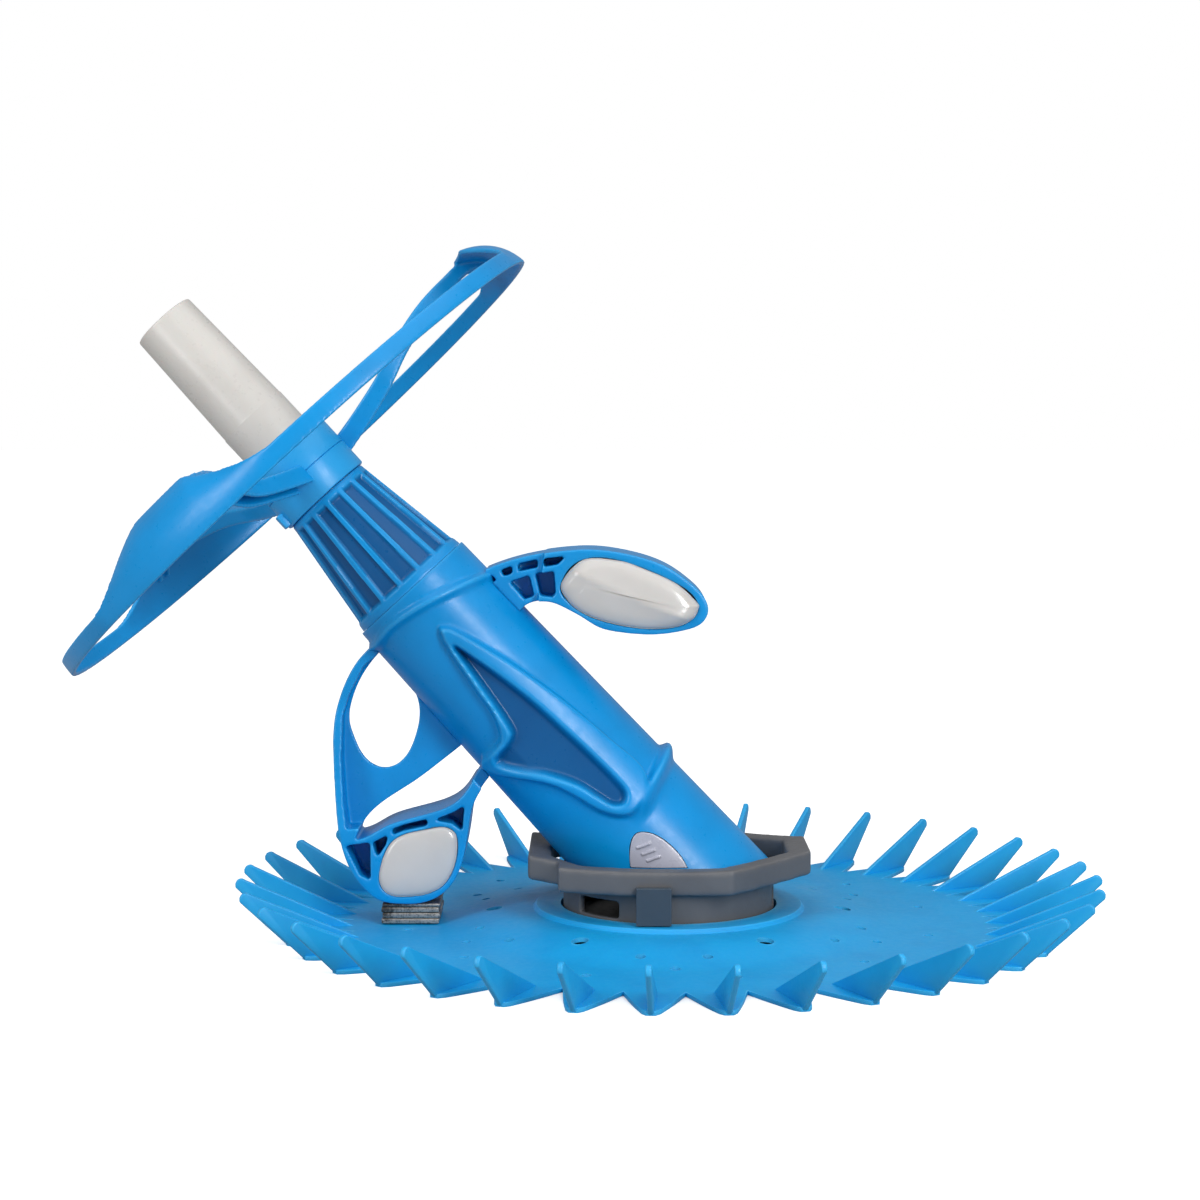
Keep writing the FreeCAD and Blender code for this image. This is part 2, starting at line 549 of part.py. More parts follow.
def wheel_spoke(index):
    """Curved channel arm from the hub to the steep end of one petal."""
    stations = [(24.0, -4.0, 324.0, 13.0, 11.0), (40.0, -14.0, 327.0, 12.5, 10.5), (62.0, -20.0, 333.0, 12.0, 10.0),
                (84.0, -18.5, 341.5, 11.5, 9.6), (106.0, -14.0, 349.0, 11.0, 9.2), (128.0, -10.5, 352.0, 10.5, 8.6),
                (150.0, -9.0, 352.0, 10.0, 8.0)]
    sections = []
    for radius, degrees, station, width, height in stations:
        sections.append(spoke_section(radius, degrees + 120.0 * index, station, width, height))
    arm = Part.makeLoft(sections, True, False)
    arm = arm.cut(cylinder(HUB_R, HUB_BOTTOM - 1, HUB_TOP + 4))
    inner_end = Vec(0, 0, HUB_BOTTOM + 20)
    pieces = arm.cut(rim_wall(index)).Solids
    pieces.sort(key=lambda solid: solid.CenterOfMass.distanceToPoint(inner_end))
    return on_tube(pieces[0])


def deflector_hub():
    """Wheel hub that runs on the outer pipe, with a thin parting groove and a thumb tab."""
    hub = revolved([(PIPE_R + RUNNING_GAP, HUB_BOTTOM), (HUB_R - 0.6, HUB_BOTTOM), (HUB_R, HUB_BOTTOM + 0.6),
                    (HUB_R, 325.0), (HUB_R - 0.4, 325.2), (HUB_R, 325.5), (HUB_R, HUB_TOP - 0.6),
                    (HUB_R - 0.6, HUB_TOP), (PIPE_R + RUNNING_GAP, HUB_TOP)])
    tab = box((-HUB_R - 2.6, -6.0, HUB_BOTTOM + 1), (-HUB_R + 1.5, 0.0, HUB_BOTTOM + 9))
    tab.rotate(Vec(0, 0, 0), UP, 18.0)
    return on_tube(hub.fuse(tab).removeSplitter())


def outer_pipe():
    """Fixed extension pipe from the neck up through the collar and the wheel hub."""
    return on_tube(pipe(PIPE_R, PIPE_BORE, 168.0, HUB_TOP))


def inner_pipe():
    """Flow pipe inside the outer pipe, from the diaphragm ring upwards."""
    return on_tube(pipe(PIPE_BORE, 13.2, 158.0, 314.0))


def thrust_washer():
    return on_tube(pipe(22.6, PIPE_R, COLLAR_TOP + 0.35, HUB_BOTTOM - 0.35))


def hose_connector():
    """Swivelling hose tail: spigot in the pipe, retaining flange, sealing land and tapered tail with a lock tab."""
    outside = revolved([(0, 320.0), (PIPE_BORE - RUNNING_GAP, 320.0), (PIPE_BORE - RUNNING_GAP, CONNECTOR_BASE),
                        (22.0, CONNECTOR_BASE), (22.0, 344.0), (LAND_R, 345.4), (LAND_R, LAND_TOP),
                        (TAIL_R_BOTTOM, LAND_TOP + 0.4), (TAIL_R_TOP, CONNECTOR_TOP - 0.8),
                        (TAIL_R_TOP - 0.8, CONNECTOR_TOP), (0, CONNECTOR_TOP)])
    bore = cylinder(CONNECTOR_BORE, 319.0, CONNECTOR_TOP + 1)
    tab = box((-22.6, -5.0, 341.2), (-17.0, 0.0, 345.4))
    tab.rotate(Vec(0, 0, 0), UP, 30.0)
    return on_tube(outside.fuse(tab).cut(bore).removeSplitter())


def cassette():
    """Housing that carries the diaphragm in the tube's lower end, with guide ribs to the shell."""
    body = revolved([(22.0, 82.0), (33.4, 82.0), (33.4, 86.0), (27.0, 89.0), (27.0, 150.0), (33.0, 153.0),
                     (33.0, 157.0), (24.2, 157.0), (24.2, 86.0), (22.0, 86.0)])
    rib = box((26.0, -1.2, 84.0), (33.2, 1.2, 155.0))
    return on_tube(body.fuse(turned(rib, 6)).removeSplitter())


def diaphragm():
    """Rubber diaphragm: a round flange and cuff with a flattened waist."""
    return on_tube(revolved([(16.0, 86.2), (24.0, 86.2), (24.0, 89.0), (19.0, 91.0), (14.5, 104.0), (14.5, 132.0),
                             (18.6, 146.0), (18.6, 152.0), (16.2, 152.0), (12.0, 132.0), (12.0, 104.0)]))


def diaphragm_ring():
    return on_tube(pipe(24.0, 18.7, 147.0, 152.0))


def pipe_gasket():
    return on_tube(pipe(24.0, 16.6, 152.2, 156.4))


def pipe_coupler():
    """Coupler that joins the cassette to the two extension pipes."""
    return on_tube(revolved([(16.6, 157.2), (26.0, 157.2), (26.0, 161.0), (22.6, 163.0), (22.6, 176.0),
                             (20.1, 176.0), (20.1, 167.6), (16.6, 167.6)]))


def latch_springs():
    """Two leaf springs behind the latch buttons, standing on the foot's top plate."""
    leaf = box((-11.0, -27.0, TUBE_CUT), (-1.0, -26.0, 52.0))
    foot = box((-11.0, -34.0, PLATE_TOP), (-1.0, -26.0, TUBE_CUT))
    return Part.makeCompound(both_sides(leaf.fuse(foot).removeSplitter()))


def latch(side):
    """Latch button of one side: 0 is the near side at -Y, 1 the far side."""
    return both_sides(latch_button())[side]


def main():
    os.makedirs("parts", exist_ok=True)
    nodes = {
        "body_tube": body_tube(),
        "bumper_frame": bumper_frame(),
        "upper_handle": upper_handle(),
        "float_block": chamber_filling(FLOAT_COVER),
        "weight_block": chamber_filling(WEIGHT_COVER),
        "ballast_plates": ballast_plates(),
        "foot_ring": foot_ring(),
        "foot_skirt": foot_skirt(),
        "foot_seal": foot_seal(),
        "foot_hooks": foot_hooks(),
        "latch_near": latch(0),
        "latch_far": latch(1),
        "latch_springs": latch_springs(),
        "finned_disc": finned_disc(),
        "disc_fins": disc_fins(),
        "twist_collar": twist_collar(),
        "deflector_hub": deflector_hub(),
        "outer_pipe": outer_pipe(),
        "inner_pipe": inner_pipe(),
        "thrust_washer": thrust_washer(),
        "hose_connector": hose_connector(),
        "cassette": cassette(),
        "diaphragm": diaphragm(),
        "diaphragm_ring": diaphragm_ring(),
        "pipe_gasket": pipe_gasket(),
        "pipe_coupler": pipe_coupler(),
    }
    nodes.update(cover_pair(FLOAT_COVER, "float", 4.4))
    nodes.update(cover_pair(WEIGHT_COVER, "weight", 3.4))
    for index in range(WHEEL_ARMS):
        nodes["deflector_rim_%d" % (index + 1)] = rim_sector(index)
        nodes["deflector_spoke_%d" % (index + 1)] = wheel_spoke(index)
    for name, shape in nodes.items():
        shape.exportStep("parts/%s.step" % name)
        bounds = shape.BoundBox
        print(name, len(shape.Solids), shape.isValid(), round(shape.Volume), [round(v, 1) for v in (
            bounds.XMin, bounds.XMax, bounds.YMin, bounds.YMax, bounds.ZMin, bounds.ZMax)])


main()
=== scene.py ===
import logging
import math
from dataclasses import dataclass, field
from enum import Enum
from typing import Any, Callable, Iterable, Optional, Sequence

import bmesh
import bpy
import numpy as np
from mathutils import Matrix, Vector


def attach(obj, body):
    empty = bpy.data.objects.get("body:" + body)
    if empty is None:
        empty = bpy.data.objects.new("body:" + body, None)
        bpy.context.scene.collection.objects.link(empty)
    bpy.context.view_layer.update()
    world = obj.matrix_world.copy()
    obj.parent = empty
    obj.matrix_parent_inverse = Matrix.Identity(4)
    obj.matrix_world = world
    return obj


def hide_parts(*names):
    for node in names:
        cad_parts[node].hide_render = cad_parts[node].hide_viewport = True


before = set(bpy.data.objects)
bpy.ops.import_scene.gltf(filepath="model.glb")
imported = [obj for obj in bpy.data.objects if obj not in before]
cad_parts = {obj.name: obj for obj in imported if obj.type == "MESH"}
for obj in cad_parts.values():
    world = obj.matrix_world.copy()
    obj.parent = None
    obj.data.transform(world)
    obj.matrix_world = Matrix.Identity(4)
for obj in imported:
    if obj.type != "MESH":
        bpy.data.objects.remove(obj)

logging.basicConfig(level=logging.INFO, format="%(relativeCreated)6.0f ms  %(message)s")
LOG = logging.getLogger("pool_cleaner")

MM = 0.001
TUBE_SLOPE = 47.33  # degrees above the floor
TUBE_FOOT = (29.2, 0.0, 0.0)  # where the tube's axis meets the floor, mm

Outline = Sequence[tuple[float, float]]


class Body(Enum):
    """The moving bodies that pieces ride on."""

    CHASSIS = "chassis"
    DISC = "disc"
    COLLAR = "collar"
    WHEEL = "wheel"
    CONNECTOR = "connector"
    LATCH_NEAR = "latch_near"
    LATCH_FAR = "latch_far"


class Slot(Enum):
    """The material slots that the record names."""

    BODY_BLUE = "body_blue"
    DISC_BLUE = "disc_blue"
    FOOT_GREY = "foot_grey"
    HOOK_GREY = "hook_grey"
    COVER_WHITE = "cover_white"
    CONNECTOR_WHITE = "connector_white"
    LATCH_SILVER = "latch_silver"
    PLATE_STEEL = "plate_steel"
    INNER_BLACK = "inner_black"
    RUBBER_BLACK = "rubber_black"
    FOAM = "foam"
    SPRING_STEEL = "spring_steel"


# ---------------------------------------------------------------- finishes


def linear(hex_colour: str) -> tuple[float, float, float, float]:
    """Turn an sRGB hex colour to linear light.

    Args:
        hex_colour: Six hex digits, with or without a leading hash.

    Returns:
        Linear red, green, blue and an alpha of 1.
    """
    digits = hex_colour.lstrip("#")
    channels = [int(digits[i : i + 2], 16) / 255 for i in (0, 2, 4)]
    red, green, blue = [c / 12.92 if c <= 0.04045 else ((c + 0.055) / 1.055) ** 2.4 for c in channels]
    return red, green, blue, 1.0


def add_node(
    tree: bpy.types.NodeTree,
    kind: str,
    settings: Optional[dict[str, Any]] = None,
    links: Optional[dict[str, bpy.types.NodeSocket]] = None,
) -> bpy.types.Node:
    """Add a shader node, set its values and link its inputs.

    Args:
        tree: The material's node tree.
        kind: The node's type name.
        settings: Property names, or input names and numbers, with their values.
        links: Input names or numbers with the sockets that feed them.

    Returns:
        The new node.
    """
    made = tree.nodes.new(kind)
    for name, value in (settings or {}).items():
        if isinstance(name, str) and hasattr(made, name) and name not in made.inputs:
            setattr(made, name, value)
        else:
            made.inputs[name].default_value = value
    for name, source in (links or {}).items():
        tree.links.new(source, made.inputs[name])
    return made


def ramp(
    tree: bpy.types.NodeTree, source: bpy.types.NodeSocket, low: float, high: float
) -> bpy.types.NodeSocket:
    """Spread a value between two levels over 0 to 1.

    Args:
        tree: The material's node tree.
        source: The value to spread.
        low: The level that gives 0.
        high: The level that gives 1.

    Returns:
        The spread value.
    """
    return add_node(
        tree, "ShaderNodeMapRange", {"From Min": low, "From Max": high, "clamp": True}, {"Value": source}
    ).outputs[0]


def blank_material(name: str) -> tuple[bpy.types.Material, bpy.types.NodeTree, bpy.types.NodeSocket]:
    """Start a material with an empty node tree.

    Args:
        name: The material's name.

    Returns:
        The material, its tree, and the piece's own coordinates in metres.
    """
    material = bpy.data.materials.new(name)
    material.use_nodes = True
    tree = material.node_tree
    tree.nodes.clear()
    return material, tree, add_node(tree, "ShaderNodeTexCoord").outputs["Object"]


@dataclass(frozen=True)
class MouldedPlastic:
    """Injection-moulded plastic with a spark-eroded texture and a painted highlight on its edges.

    The fine grain scatters the highlight into a soft satin sheen, slow flow marks shift the tone a little,
    and a paler colour is painted on the convex edges of ribs and walls as a painted highlight.
    A painted shade attribute on the mesh, where there is one, blends in the painted shade colour.
    """

    name: str
    colour: str
    deep: str
    # edge: the paler colour painted on convex edges as a painted highlight
    edge: str
    roughness: float = 0.36
    grain_mm: float = 0.55
    grain_depth_mm: float = 0.02
    flow_mm: float = 26.0
    speck_mm: float = 3.2
    highlight_share: float = 0.55
    scatter: float = 0.0
    coat: float = 0.0
    specular: float = 0.5
    # pointiness levels over which the painted edge highlight comes in
    highlight_low: float = 0.52
    highlight_high: float = 0.60
    # colour of the painted shade on pocket floors and flutes
    painted_shade: Optional[str] = None

    def build(self) -> bpy.types.Material:
        """Make the material's nodes.

        Returns:
            The finished material.
        """
        material, tree, place = blank_material(self.name)
        flow = add_node(
            tree,
            "ShaderNodeTexNoise",
            {"Scale": 1000 / self.flow_mm, "Detail": 3.0, "Roughness": 0.5},
            {"Vector": place},
        ).outputs["Fac"]
        grain = add_node(
            tree,
            "ShaderNodeTexNoise",
            {"Scale": 1000 / self.grain_mm, "Detail": 2.0, "Roughness": 0.6},
            {"Vector": place},
        ).outputs["Fac"]
        specks = add_node(
            tree,
            "ShaderNodeTexNoise",
            {"Scale": 1000 / self.speck_mm, "Detail": 4.0, "Roughness": 0.65},
            {"Vector": place},
        ).outputs["Fac"]
        toned = add_node(
            tree,
            "ShaderNodeMix",
            {"data_type": "RGBA", 6: linear(self.colour), 7: linear(self.deep)},
            {0: ramp(tree, flow, 0.44, 0.78)},
        ).outputs[2]
        # painted shade: the mesh's shade attribute darkens pocket floors and flutes towards the painted shade
        # colour
        if self.painted_shade:
            recess_shade = add_node(tree, "ShaderNodeAttribute", {"attribute_name": "recess_shade"}).outputs["Fac"]
            toned = add_node(
                tree, "ShaderNodeMix", {"data_type": "RGBA", 7: linear(self.painted_shade)}, {0: recess_shade, 6: toned}
            ).outputs[2]
        # painted highlight: convex edges, found by pointiness, take the paler edge colour
        convexity = add_node(tree, "ShaderNodeNewGeometry").outputs["Pointiness"]
        edge_highlight = ramp(tree, convexity, self.highlight_low, self.highlight_high)
        share = add_node(
            tree, "ShaderNodeMath", {"operation": "MULTIPLY", 1: self.highlight_share}, {0: edge_highlight}
        ).outputs[0]
        highlighted = add_node(
            tree, "ShaderNodeMix", {"data_type": "RGBA", 7: linear(self.edge)}, {0: share, 6: toned}
        ).outputs[2]
        gloss = add_node(
            tree,
            "ShaderNodeMapRange",
            {
                "From Min": 0.3,
                "From Max": 0.7,
                "To Min": self.roughness - 0.05,
                "To Max": self.roughness + 0.07,
            },
            {"Value": specks},
        ).outputs[0]
        bump = add_node(
            tree,
            "ShaderNodeBump",
            {"Strength": 0.35, "Distance": self.grain_depth_mm * MM},
            {"Height": grain},
        ).outputs[0]
        shader = add_node(
            tree,
            "ShaderNodeBsdfPrincipled",
            {
                "IOR": 1.49,
                "Specular IOR Level": self.specular,
                "Subsurface Weight": self.scatter,
                "Subsurface Scale": 0.003,
                "Coat Weight": self.coat,
                "Coat Roughness": 0.12,
            },
            {"Base Color": highlighted, "Roughness": gloss, "Normal": bump},
        )
        add_node(tree, "ShaderNodeOutputMaterial", None, {"Surface": shader.outputs[0]})
        return material


@dataclass(frozen=True)
class RolledMetal:
    """Rolled sheet or strip metal, speckled where its zinc or scale has dulled."""

    name: str
    colour: str
    speck: str
    roughness: float = 0.42
    metallic: float = 0.8
    speck_mm: float = 1.1
    blotch_mm: float = 14.0
    pit_depth_mm: float = 0.12

    def build(self) -> bpy.types.Material:
        """Make the material's nodes.

        Returns:
            The finished material.
        """
        material, tree, place = blank_material(self.name)
        specks = add_node(
            tree,
            "ShaderNodeTexNoise",
            {"Scale": 1000 / self.speck_mm, "Detail": 5.0, "Roughness": 0.7},
            {"Vector": place},
        ).outputs["Fac"]
        blotch = add_node(
            tree, "ShaderNodeTexNoise", {"Scale": 1000 / self.blotch_mm, "Detail": 3.0}, {"Vector": place}
        ).outputs["Fac"]
        both = add_node(tree, "ShaderNodeMath", {"operation": "MULTIPLY"}, {0: specks, 1: blotch}).outputs[0]
        tone = add_node(
            tree,
            "ShaderNodeMix",
            {"data_type": "RGBA", 6: linear(self.speck), 7: linear(self.colour)},
            {0: ramp(tree, both, 0.19, 0.31)},
        ).outputs[2]
        gloss = add_node(
            tree,
            "ShaderNodeMapRange",
            {
                "From Min": 0.3,
                "From Max": 0.7,
                "To Min": self.roughness - 0.1,
                "To Max": self.roughness + 0.2,
            },
            {"Value": specks},
        ).outputs[0]
        bump = add_node(
            tree,
            "ShaderNodeBump",
            {"Strength": 0.6, "Distance": self.pit_depth_mm * MM},
            {"Height": specks},
        ).outputs[0]
        shader = add_node(
            tree,
            "ShaderNodeBsdfPrincipled",
            {"Metallic": self.metallic},
            {"Base Color": tone, "Roughness": gloss, "Normal": bump},
        )
        add_node(tree, "ShaderNodeOutputMaterial", None, {"Surface": shader.outputs[0]})
        return material


@dataclass(frozen=True)
class CellFoam:
    """Closed-cell foam: matt, with small pits where the cells were cut open; the pits are painted darker as
    painted shade.
    """

    name: str
    colour: str
    pit_shade: str
    cell_mm: float = 1.4
    pit_depth_mm: float = 0.3

    def build(self) -> bpy.types.Material:
        """Make the material's nodes.

        Returns:
            The finished material.
        """
        material, tree, place = blank_material(self.name)
        cells = add_node(
            tree, "ShaderNodeTexVoronoi", {"Scale": 1000 / self.cell_mm}, {"Vector": place}
        ).outputs["Distance"]
        # painted shade: the cell pits take the darker pit colour
        tone = add_node(
            tree,
            "ShaderNodeMix",
            {"data_type": "RGBA", 6: linear(self.pit_shade), 7: linear(self.colour)},
            {0: ramp(tree, cells, 0.05, 0.5)},
        ).outputs[2]
        bump = add_node(
            tree, "ShaderNodeBump", {"Strength": 0.8, "Distance": self.pit_depth_mm * MM}, {"Height": cells}
        ).outputs[0]
        shader = add_node(
            tree,
            "ShaderNodeBsdfPrincipled",
            {"Roughness": 0.9, "IOR": 1.45},
            {"Base Color": tone, "Normal": bump},
        )
        add_node(tree, "ShaderNodeOutputMaterial", None, {"Surface": shader.outputs[0]})
        return material


@dataclass(frozen=True)
class PaperBackdrop:
    """Matt studio paper: burnt out to white where it is looked at, with a painted shadow under the disc.

    It gives little light back, so the undersides of the tube and collar stay dark.
    """

    name: str
    colour: str
    shade: str
    glow: float = 0.46
    fibre_mm: float = 2.5
    shade_reach: tuple[float, float] = (0.15, 0.19)

    def build(self) -> bpy.types.Material:
        """Make the material's nodes.

        Returns:
            The finished material.
        """
        material, tree, place = blank_material(self.name)
        fibre = add_node(
            tree, "ShaderNodeTexNoise", {"Scale": 1000 / self.fibre_mm, "Detail": 3.0}, {"Vector": place}
        ).outputs["Fac"]
        watched = add_node(tree, "ShaderNodeLightPath").outputs["Is Camera Ray"]
        # painted shadow: within the shade reach of the middle the paper keeps the shade colour and no glow
        reach = add_node(tree, "ShaderNodeVectorMath", {"operation": "LENGTH"}, {0: place}).outputs["Value"]
        clear = ramp(tree, reach, *self.shade_reach)
        seen = add_node(tree, "ShaderNodeMath", {"operation": "MULTIPLY"}, {0: watched, 1: clear}).outputs[0]
        tone = add_node(
            tree,
            "ShaderNodeMix",
            {"data_type": "RGBA", 6: linear(self.shade), 7: linear(self.colour)},
            {0: seen},
        ).outputs[2]
        glow = add_node(
            tree, "ShaderNodeMath", {"operation": "MULTIPLY", 1: self.glow}, {0: seen}
        ).outputs[0]
        bump = add_node(
            tree, "ShaderNodeBump", {"Strength": 0.1, "Distance": 0.02 * MM}, {"Height": fibre}
        ).outputs[0]
        shader = add_node(
            tree,
            "ShaderNodeBsdfPrincipled",
            {"Roughness": 0.85, "Specular IOR Level": 0.0, "Emission Color": (1.0, 1.0, 1.0, 1.0)},
            {"Base Color": tone, "Emission Strength": glow, "Normal": bump},
        )
        add_node(tree, "ShaderNodeOutputMaterial", None, {"Surface": shader.outputs[0]})
        return material


class Finishes:
    """Every finish of the cleaner, made once."""

    def __init__(self) -> None:
        """Build the materials."""
        # Polypropylene, spark-eroded mould texture: satin, cool mid blue, with a painted highlight on thin
        # edges. The darker colour on the floors of its pockets and flutes is painted shade.
        self.body_blue = MouldedPlastic(
            "moulded_polypropylene_blue", "#038dd2", "#0384c6", "#4fbff4", roughness=0.31, specular=0.36,
            highlight_share=0.65, painted_shade="#022f66",
        ).build()
        # Thermoplastic polyurethane of the disc: a shade lighter and softer in sheen; light carries
        # through the thin fins.
        self.disc_blue = MouldedPlastic(
            "moulded_polyurethane_sky", "#129cda", "#0f93d2", "#62c6f2", roughness=0.42, scatter=0.1,
            specular=0.35,
        ).build()
        # Thermoplastic rubber over the foot: warm charcoal, nearly matt.
        self.foot_grey = MouldedPlastic(
            "moulded_elastomer_charcoal", "#5a5b5e", "#505155", "#8a8a8e", roughness=0.5, grain_mm=0.8,
            grain_depth_mm=0.04, highlight_share=0.35,
        ).build()
        # Nylon hooks: bluish slate, slightly smoother than the foot.
        self.hook_grey = MouldedPlastic(
            "moulded_nylon_slate", "#36434f", "#303c47", "#6a7782", roughness=0.42, highlight_share=0.4
        ).build()
        # Gloss-moulded ABS covers: clean white with a clear highlight.
        self.cover_white = MouldedPlastic(
            "gloss_abs_white", "#c6c3c0", "#c0bdb9", "#dedcd9", roughness=0.2, grain_depth_mm=0.004,
            scatter=0.05, coat=0.3, highlight_share=0.3,
        ).build()
        # Hose tail, ABS from a plain mould: white, softer gloss than the covers.
        self.connector_white = MouldedPlastic(
            "moulded_abs_white", "#c8c5c0", "#c1bdb8", "#dfddd9", roughness=0.3, scatter=0.05, highlight_share=0.3
        ).build()
        # Painted ABS buttons: a pale silver-lilac metallic lacquer.
        self.latch_silver = MouldedPlastic(
            "lacquered_abs_silver", "#a9abba", "#9c9eae", "#dcdde6", roughness=0.28, grain_mm=0.4,
            grain_depth_mm=0.01, coat=0.4, specular=0.8,
        ).build()
        # Galvanised mild steel plates, dull and speckled.
        self.plate_steel = RolledMetal("galvanised_steel_speckled", "#aaa69f", "#4e4a45").build()
        # Stainless strip of the leaf springs.
        self.spring_steel = RolledMetal(
            "rolled_stainless_strip", "#b9bbbd", "#8e9093", roughness=0.25, metallic=1.0, pit_depth_mm=0.01
        ).build()
        # Glass-filled polypropylene of the inner flow parts: near black, faintly mottled.
        self.inner_black = MouldedPlastic(
            "glass_filled_polypropylene_black", "#1b1c1e", "#141517", "#3a3c40", roughness=0.4
        ).build()
        # Neoprene diaphragm and gaskets: soft black with a dusty bloom.
        self.rubber_black = MouldedPlastic(
            "moulded_neoprene_black", "#17171a", "#202024", "#2e2e33", roughness=0.6, grain_mm=1.2,
            highlight_share=0.2,
        ).build()
        self.foam = CellFoam("closed_cell_foam_white", "#dcdad4", "#b9b6ae")

    def floor(self) -> bpy.types.Material:
        """Make the pale studio floor.

        Returns:
            A matt off-white material.
        """
        return PaperBackdrop("matt_paper_backdrop", "#f6f6f6", "#a8a8a8").build()


# ---------------------------------------------------------------- shape helpers


def tube_matrix() -> Matrix:
    """Matrix from the tube's own millimetre frame to the object's metre frame."""
    lean = Matrix.Rotation(math.radians(TUBE_SLOPE - 90), 4, "Y")
    return Matrix.Scale(MM, 4) @ Matrix.Translation(TUBE_FOOT) @ lean


def level_matrix() -> Matrix:
    """Matrix from millimetres to the object's metre frame."""
    return Matrix.Scale(MM, 4)


def smoothed(points: Outline, steps: int, closed: bool = True) -> list[tuple[float, float]]:
    """Run a smooth line through an outline's points.

    Args:
        points: The outline's points.
        steps: How many short runs replace each side.
        closed: Whether the last point joins the first.

    Returns:
        The points of the smooth line.
    """
    count = len(points)
    made: list[tuple[float, float]] = []
    for index in range(count if closed else count - 1):
        near = [points[(index + shift) % count] if closed else points[min(max(index + shift, 0), count - 1)]
                for shift in (-1, 0, 1, 2)]
        (ax, ay), (bx, by), (cx, cy), (dx, dy) = near
        for step in range(steps):
            t = step / steps
            first, second = 2 * t**3 - 3 * t**2 + 1, -2 * t**3 + 3 * t**2
            leave, arrive = t**3 - 2 * t**2 + t, t**3 - t**2
            made.append((
                first * bx + second * cx + leave * (cx - ax) / 2 + arrive * (dx - bx) / 2,
                first * by + second * cy + leave * (cy - ay) / 2 + arrive * (dy - by) / 2,
            ))
    if not closed:
        made.append(tuple(points[-1]))
    return made


def ease(value: float) -> float:
    """Ease a value held between 0 and 1."""
    value = min(1.0, max(0.0, value))
    return value * value * (3 - 2 * value)


def smoothstep(low: float, high: float, value: np.ndarray) -> np.ndarray:
    """Ease from 0 at low to 1 at high."""
    share = np.clip((value - low) / (high - low), 0.0, 1.0)
    return share * share * (3 - 2 * share)


def distance_to(points: np.ndarray, path: np.ndarray) -> np.ndarray:
    """Least distance from each point to an open path.

    Args:
        points: Two columns, one row for each point.
        path: Two columns, one row for each corner.

    Returns:
        One distance for each point.
    """
    best = np.full(len(points), 1e9)
    for start, end in zip(path[:-1], path[1:]):
        run = end - start
        share = np.clip(((points - start) @ run) / max(run @ run, 1e-12), 0, 1)
        best = np.minimum(best, np.linalg.norm(points - start - share[:, None] * run, axis=1))
    return best


def inside_distance(points: np.ndarray, loop: np.ndarray) -> np.ndarray:
    """Distance to a closed loop, positive inside it.

    Args:
        points: Two columns, one row for each point.
        loop: Two columns, one row for each corner.

    Returns:
        One signed distance for each point.
    """
    ring = np.vstack([loop, loop[:1]])
    gap = distance_to(points, ring)
    inside = np.zeros(len(points), bool)
    for (ax, ay), (bx, by) in zip(ring[:-1], ring[1:]):
        if ay == by:
            continue
        crosses = (points[:, 1] > min(ay, by)) & (points[:, 1] <= max(ay, by))
        inside ^= crosses & (points[:, 0] < ax + (points[:, 1] - ay) * (bx - ax) / (by - ay))
    return np.where(inside, gap, -gap)


def spun(profile: Outline, steps: int, closed: bool = True) -> bmesh.types.BMesh:
    """Turn a profile of radius and height about the vertical axis.

    Args:
        profile: Radius and height of each corner.
        steps: Number of steps in the full turn.
        closed: Whether the profile's end joins its start.

    Returns:
        The turned shape.
    """
    bm = bmesh.new()
    verts = [bm.verts.new((radius, 0.0, height)) for radius, height in profile]
    edges = [bm.edges.new(pair) for pair in zip(verts, verts[1:])]
    if closed:
        edges.append(bm.edges.new((verts[-1], verts[0])))
    bmesh.ops.spin(
        bm, geom=verts + edges, cent=(0, 0, 0), axis=(0, 0, 1), angle=2 * math.pi, steps=steps, use_merge=True
    )
    bmesh.ops.remove_doubles(bm, verts=bm.verts, dist=1e-4)
    bmesh.ops.recalc_face_normals(bm, faces=bm.faces)
    return bm


def prism(points: Outline, low: float, high: float) -> bmesh.types.BMesh:
    """Extrude an outline in the XZ plane from one Y to another.

    Args:
        points: The outline's X and Z.
        low: Y of the first face.
        high: Y of the second face.

    Returns:
        The prism.
    """
    bm = bmesh.new()
    face = bm.faces.new([bm.verts.new((x, low, z)) for x, z in points])
    made = bmesh.ops.extrude_face_region(bm, geom=[face])
    moved = [item for item in made["geom"] if isinstance(item, bmesh.types.BMVert)]
    bmesh.ops.translate(bm, vec=(0, high - low, 0), verts=moved)
    bmesh.ops.recalc_face_normals(bm, faces=bm.faces)
    return bm


def block(
    low: Sequence[float], high: Sequence[float], rounding: float, segments: int = 3
) -> bmesh.types.BMesh:
    """A block with rounded edges between two corners.

    Args:
        low: Lowest corner.
        high: Highest corner.
        rounding: Width of the rounded edges.
        segments: Faces across each rounded edge.

    Returns:
        The block.
    """
    bm = bmesh.new()
    bmesh.ops.create_cube(bm, size=1.0)
    size = [h - l for l, h in zip(low, high)]
    middle = [(h + l) / 2 for l, h in zip(low, high)]
    bmesh.ops.scale(bm, vec=size, verts=bm.verts)
    bmesh.ops.translate(bm, vec=middle, verts=bm.verts)
    bmesh.ops.bevel(
        bm, geom=bm.edges[:], offset=rounding, segments=segments, profile=0.5, affect="EDGES", material=-1
    )
    return bm


def round_sharp(bm: bmesh.types.BMesh, width: float, segments: int = 2, angle: float = 40.0) -> None:
    """Round every edge sharper than an angle.

    Args:
        bm: The shape.
        width: Width of the rounding.
        segments: Faces across each rounding.
        angle: Least angle between faces, in degrees.
    """
    limit = math.radians(angle)
    sharp = [edge for edge in bm.edges if len(edge.link_faces) == 2 and edge.calc_face_angle(0.0) > limit]
    bmesh.ops.bevel(
        bm, geom=sharp, offset=width, segments=segments, profile=0.5, affect="EDGES", material=-1,
        clamp_overlap=True,
    )


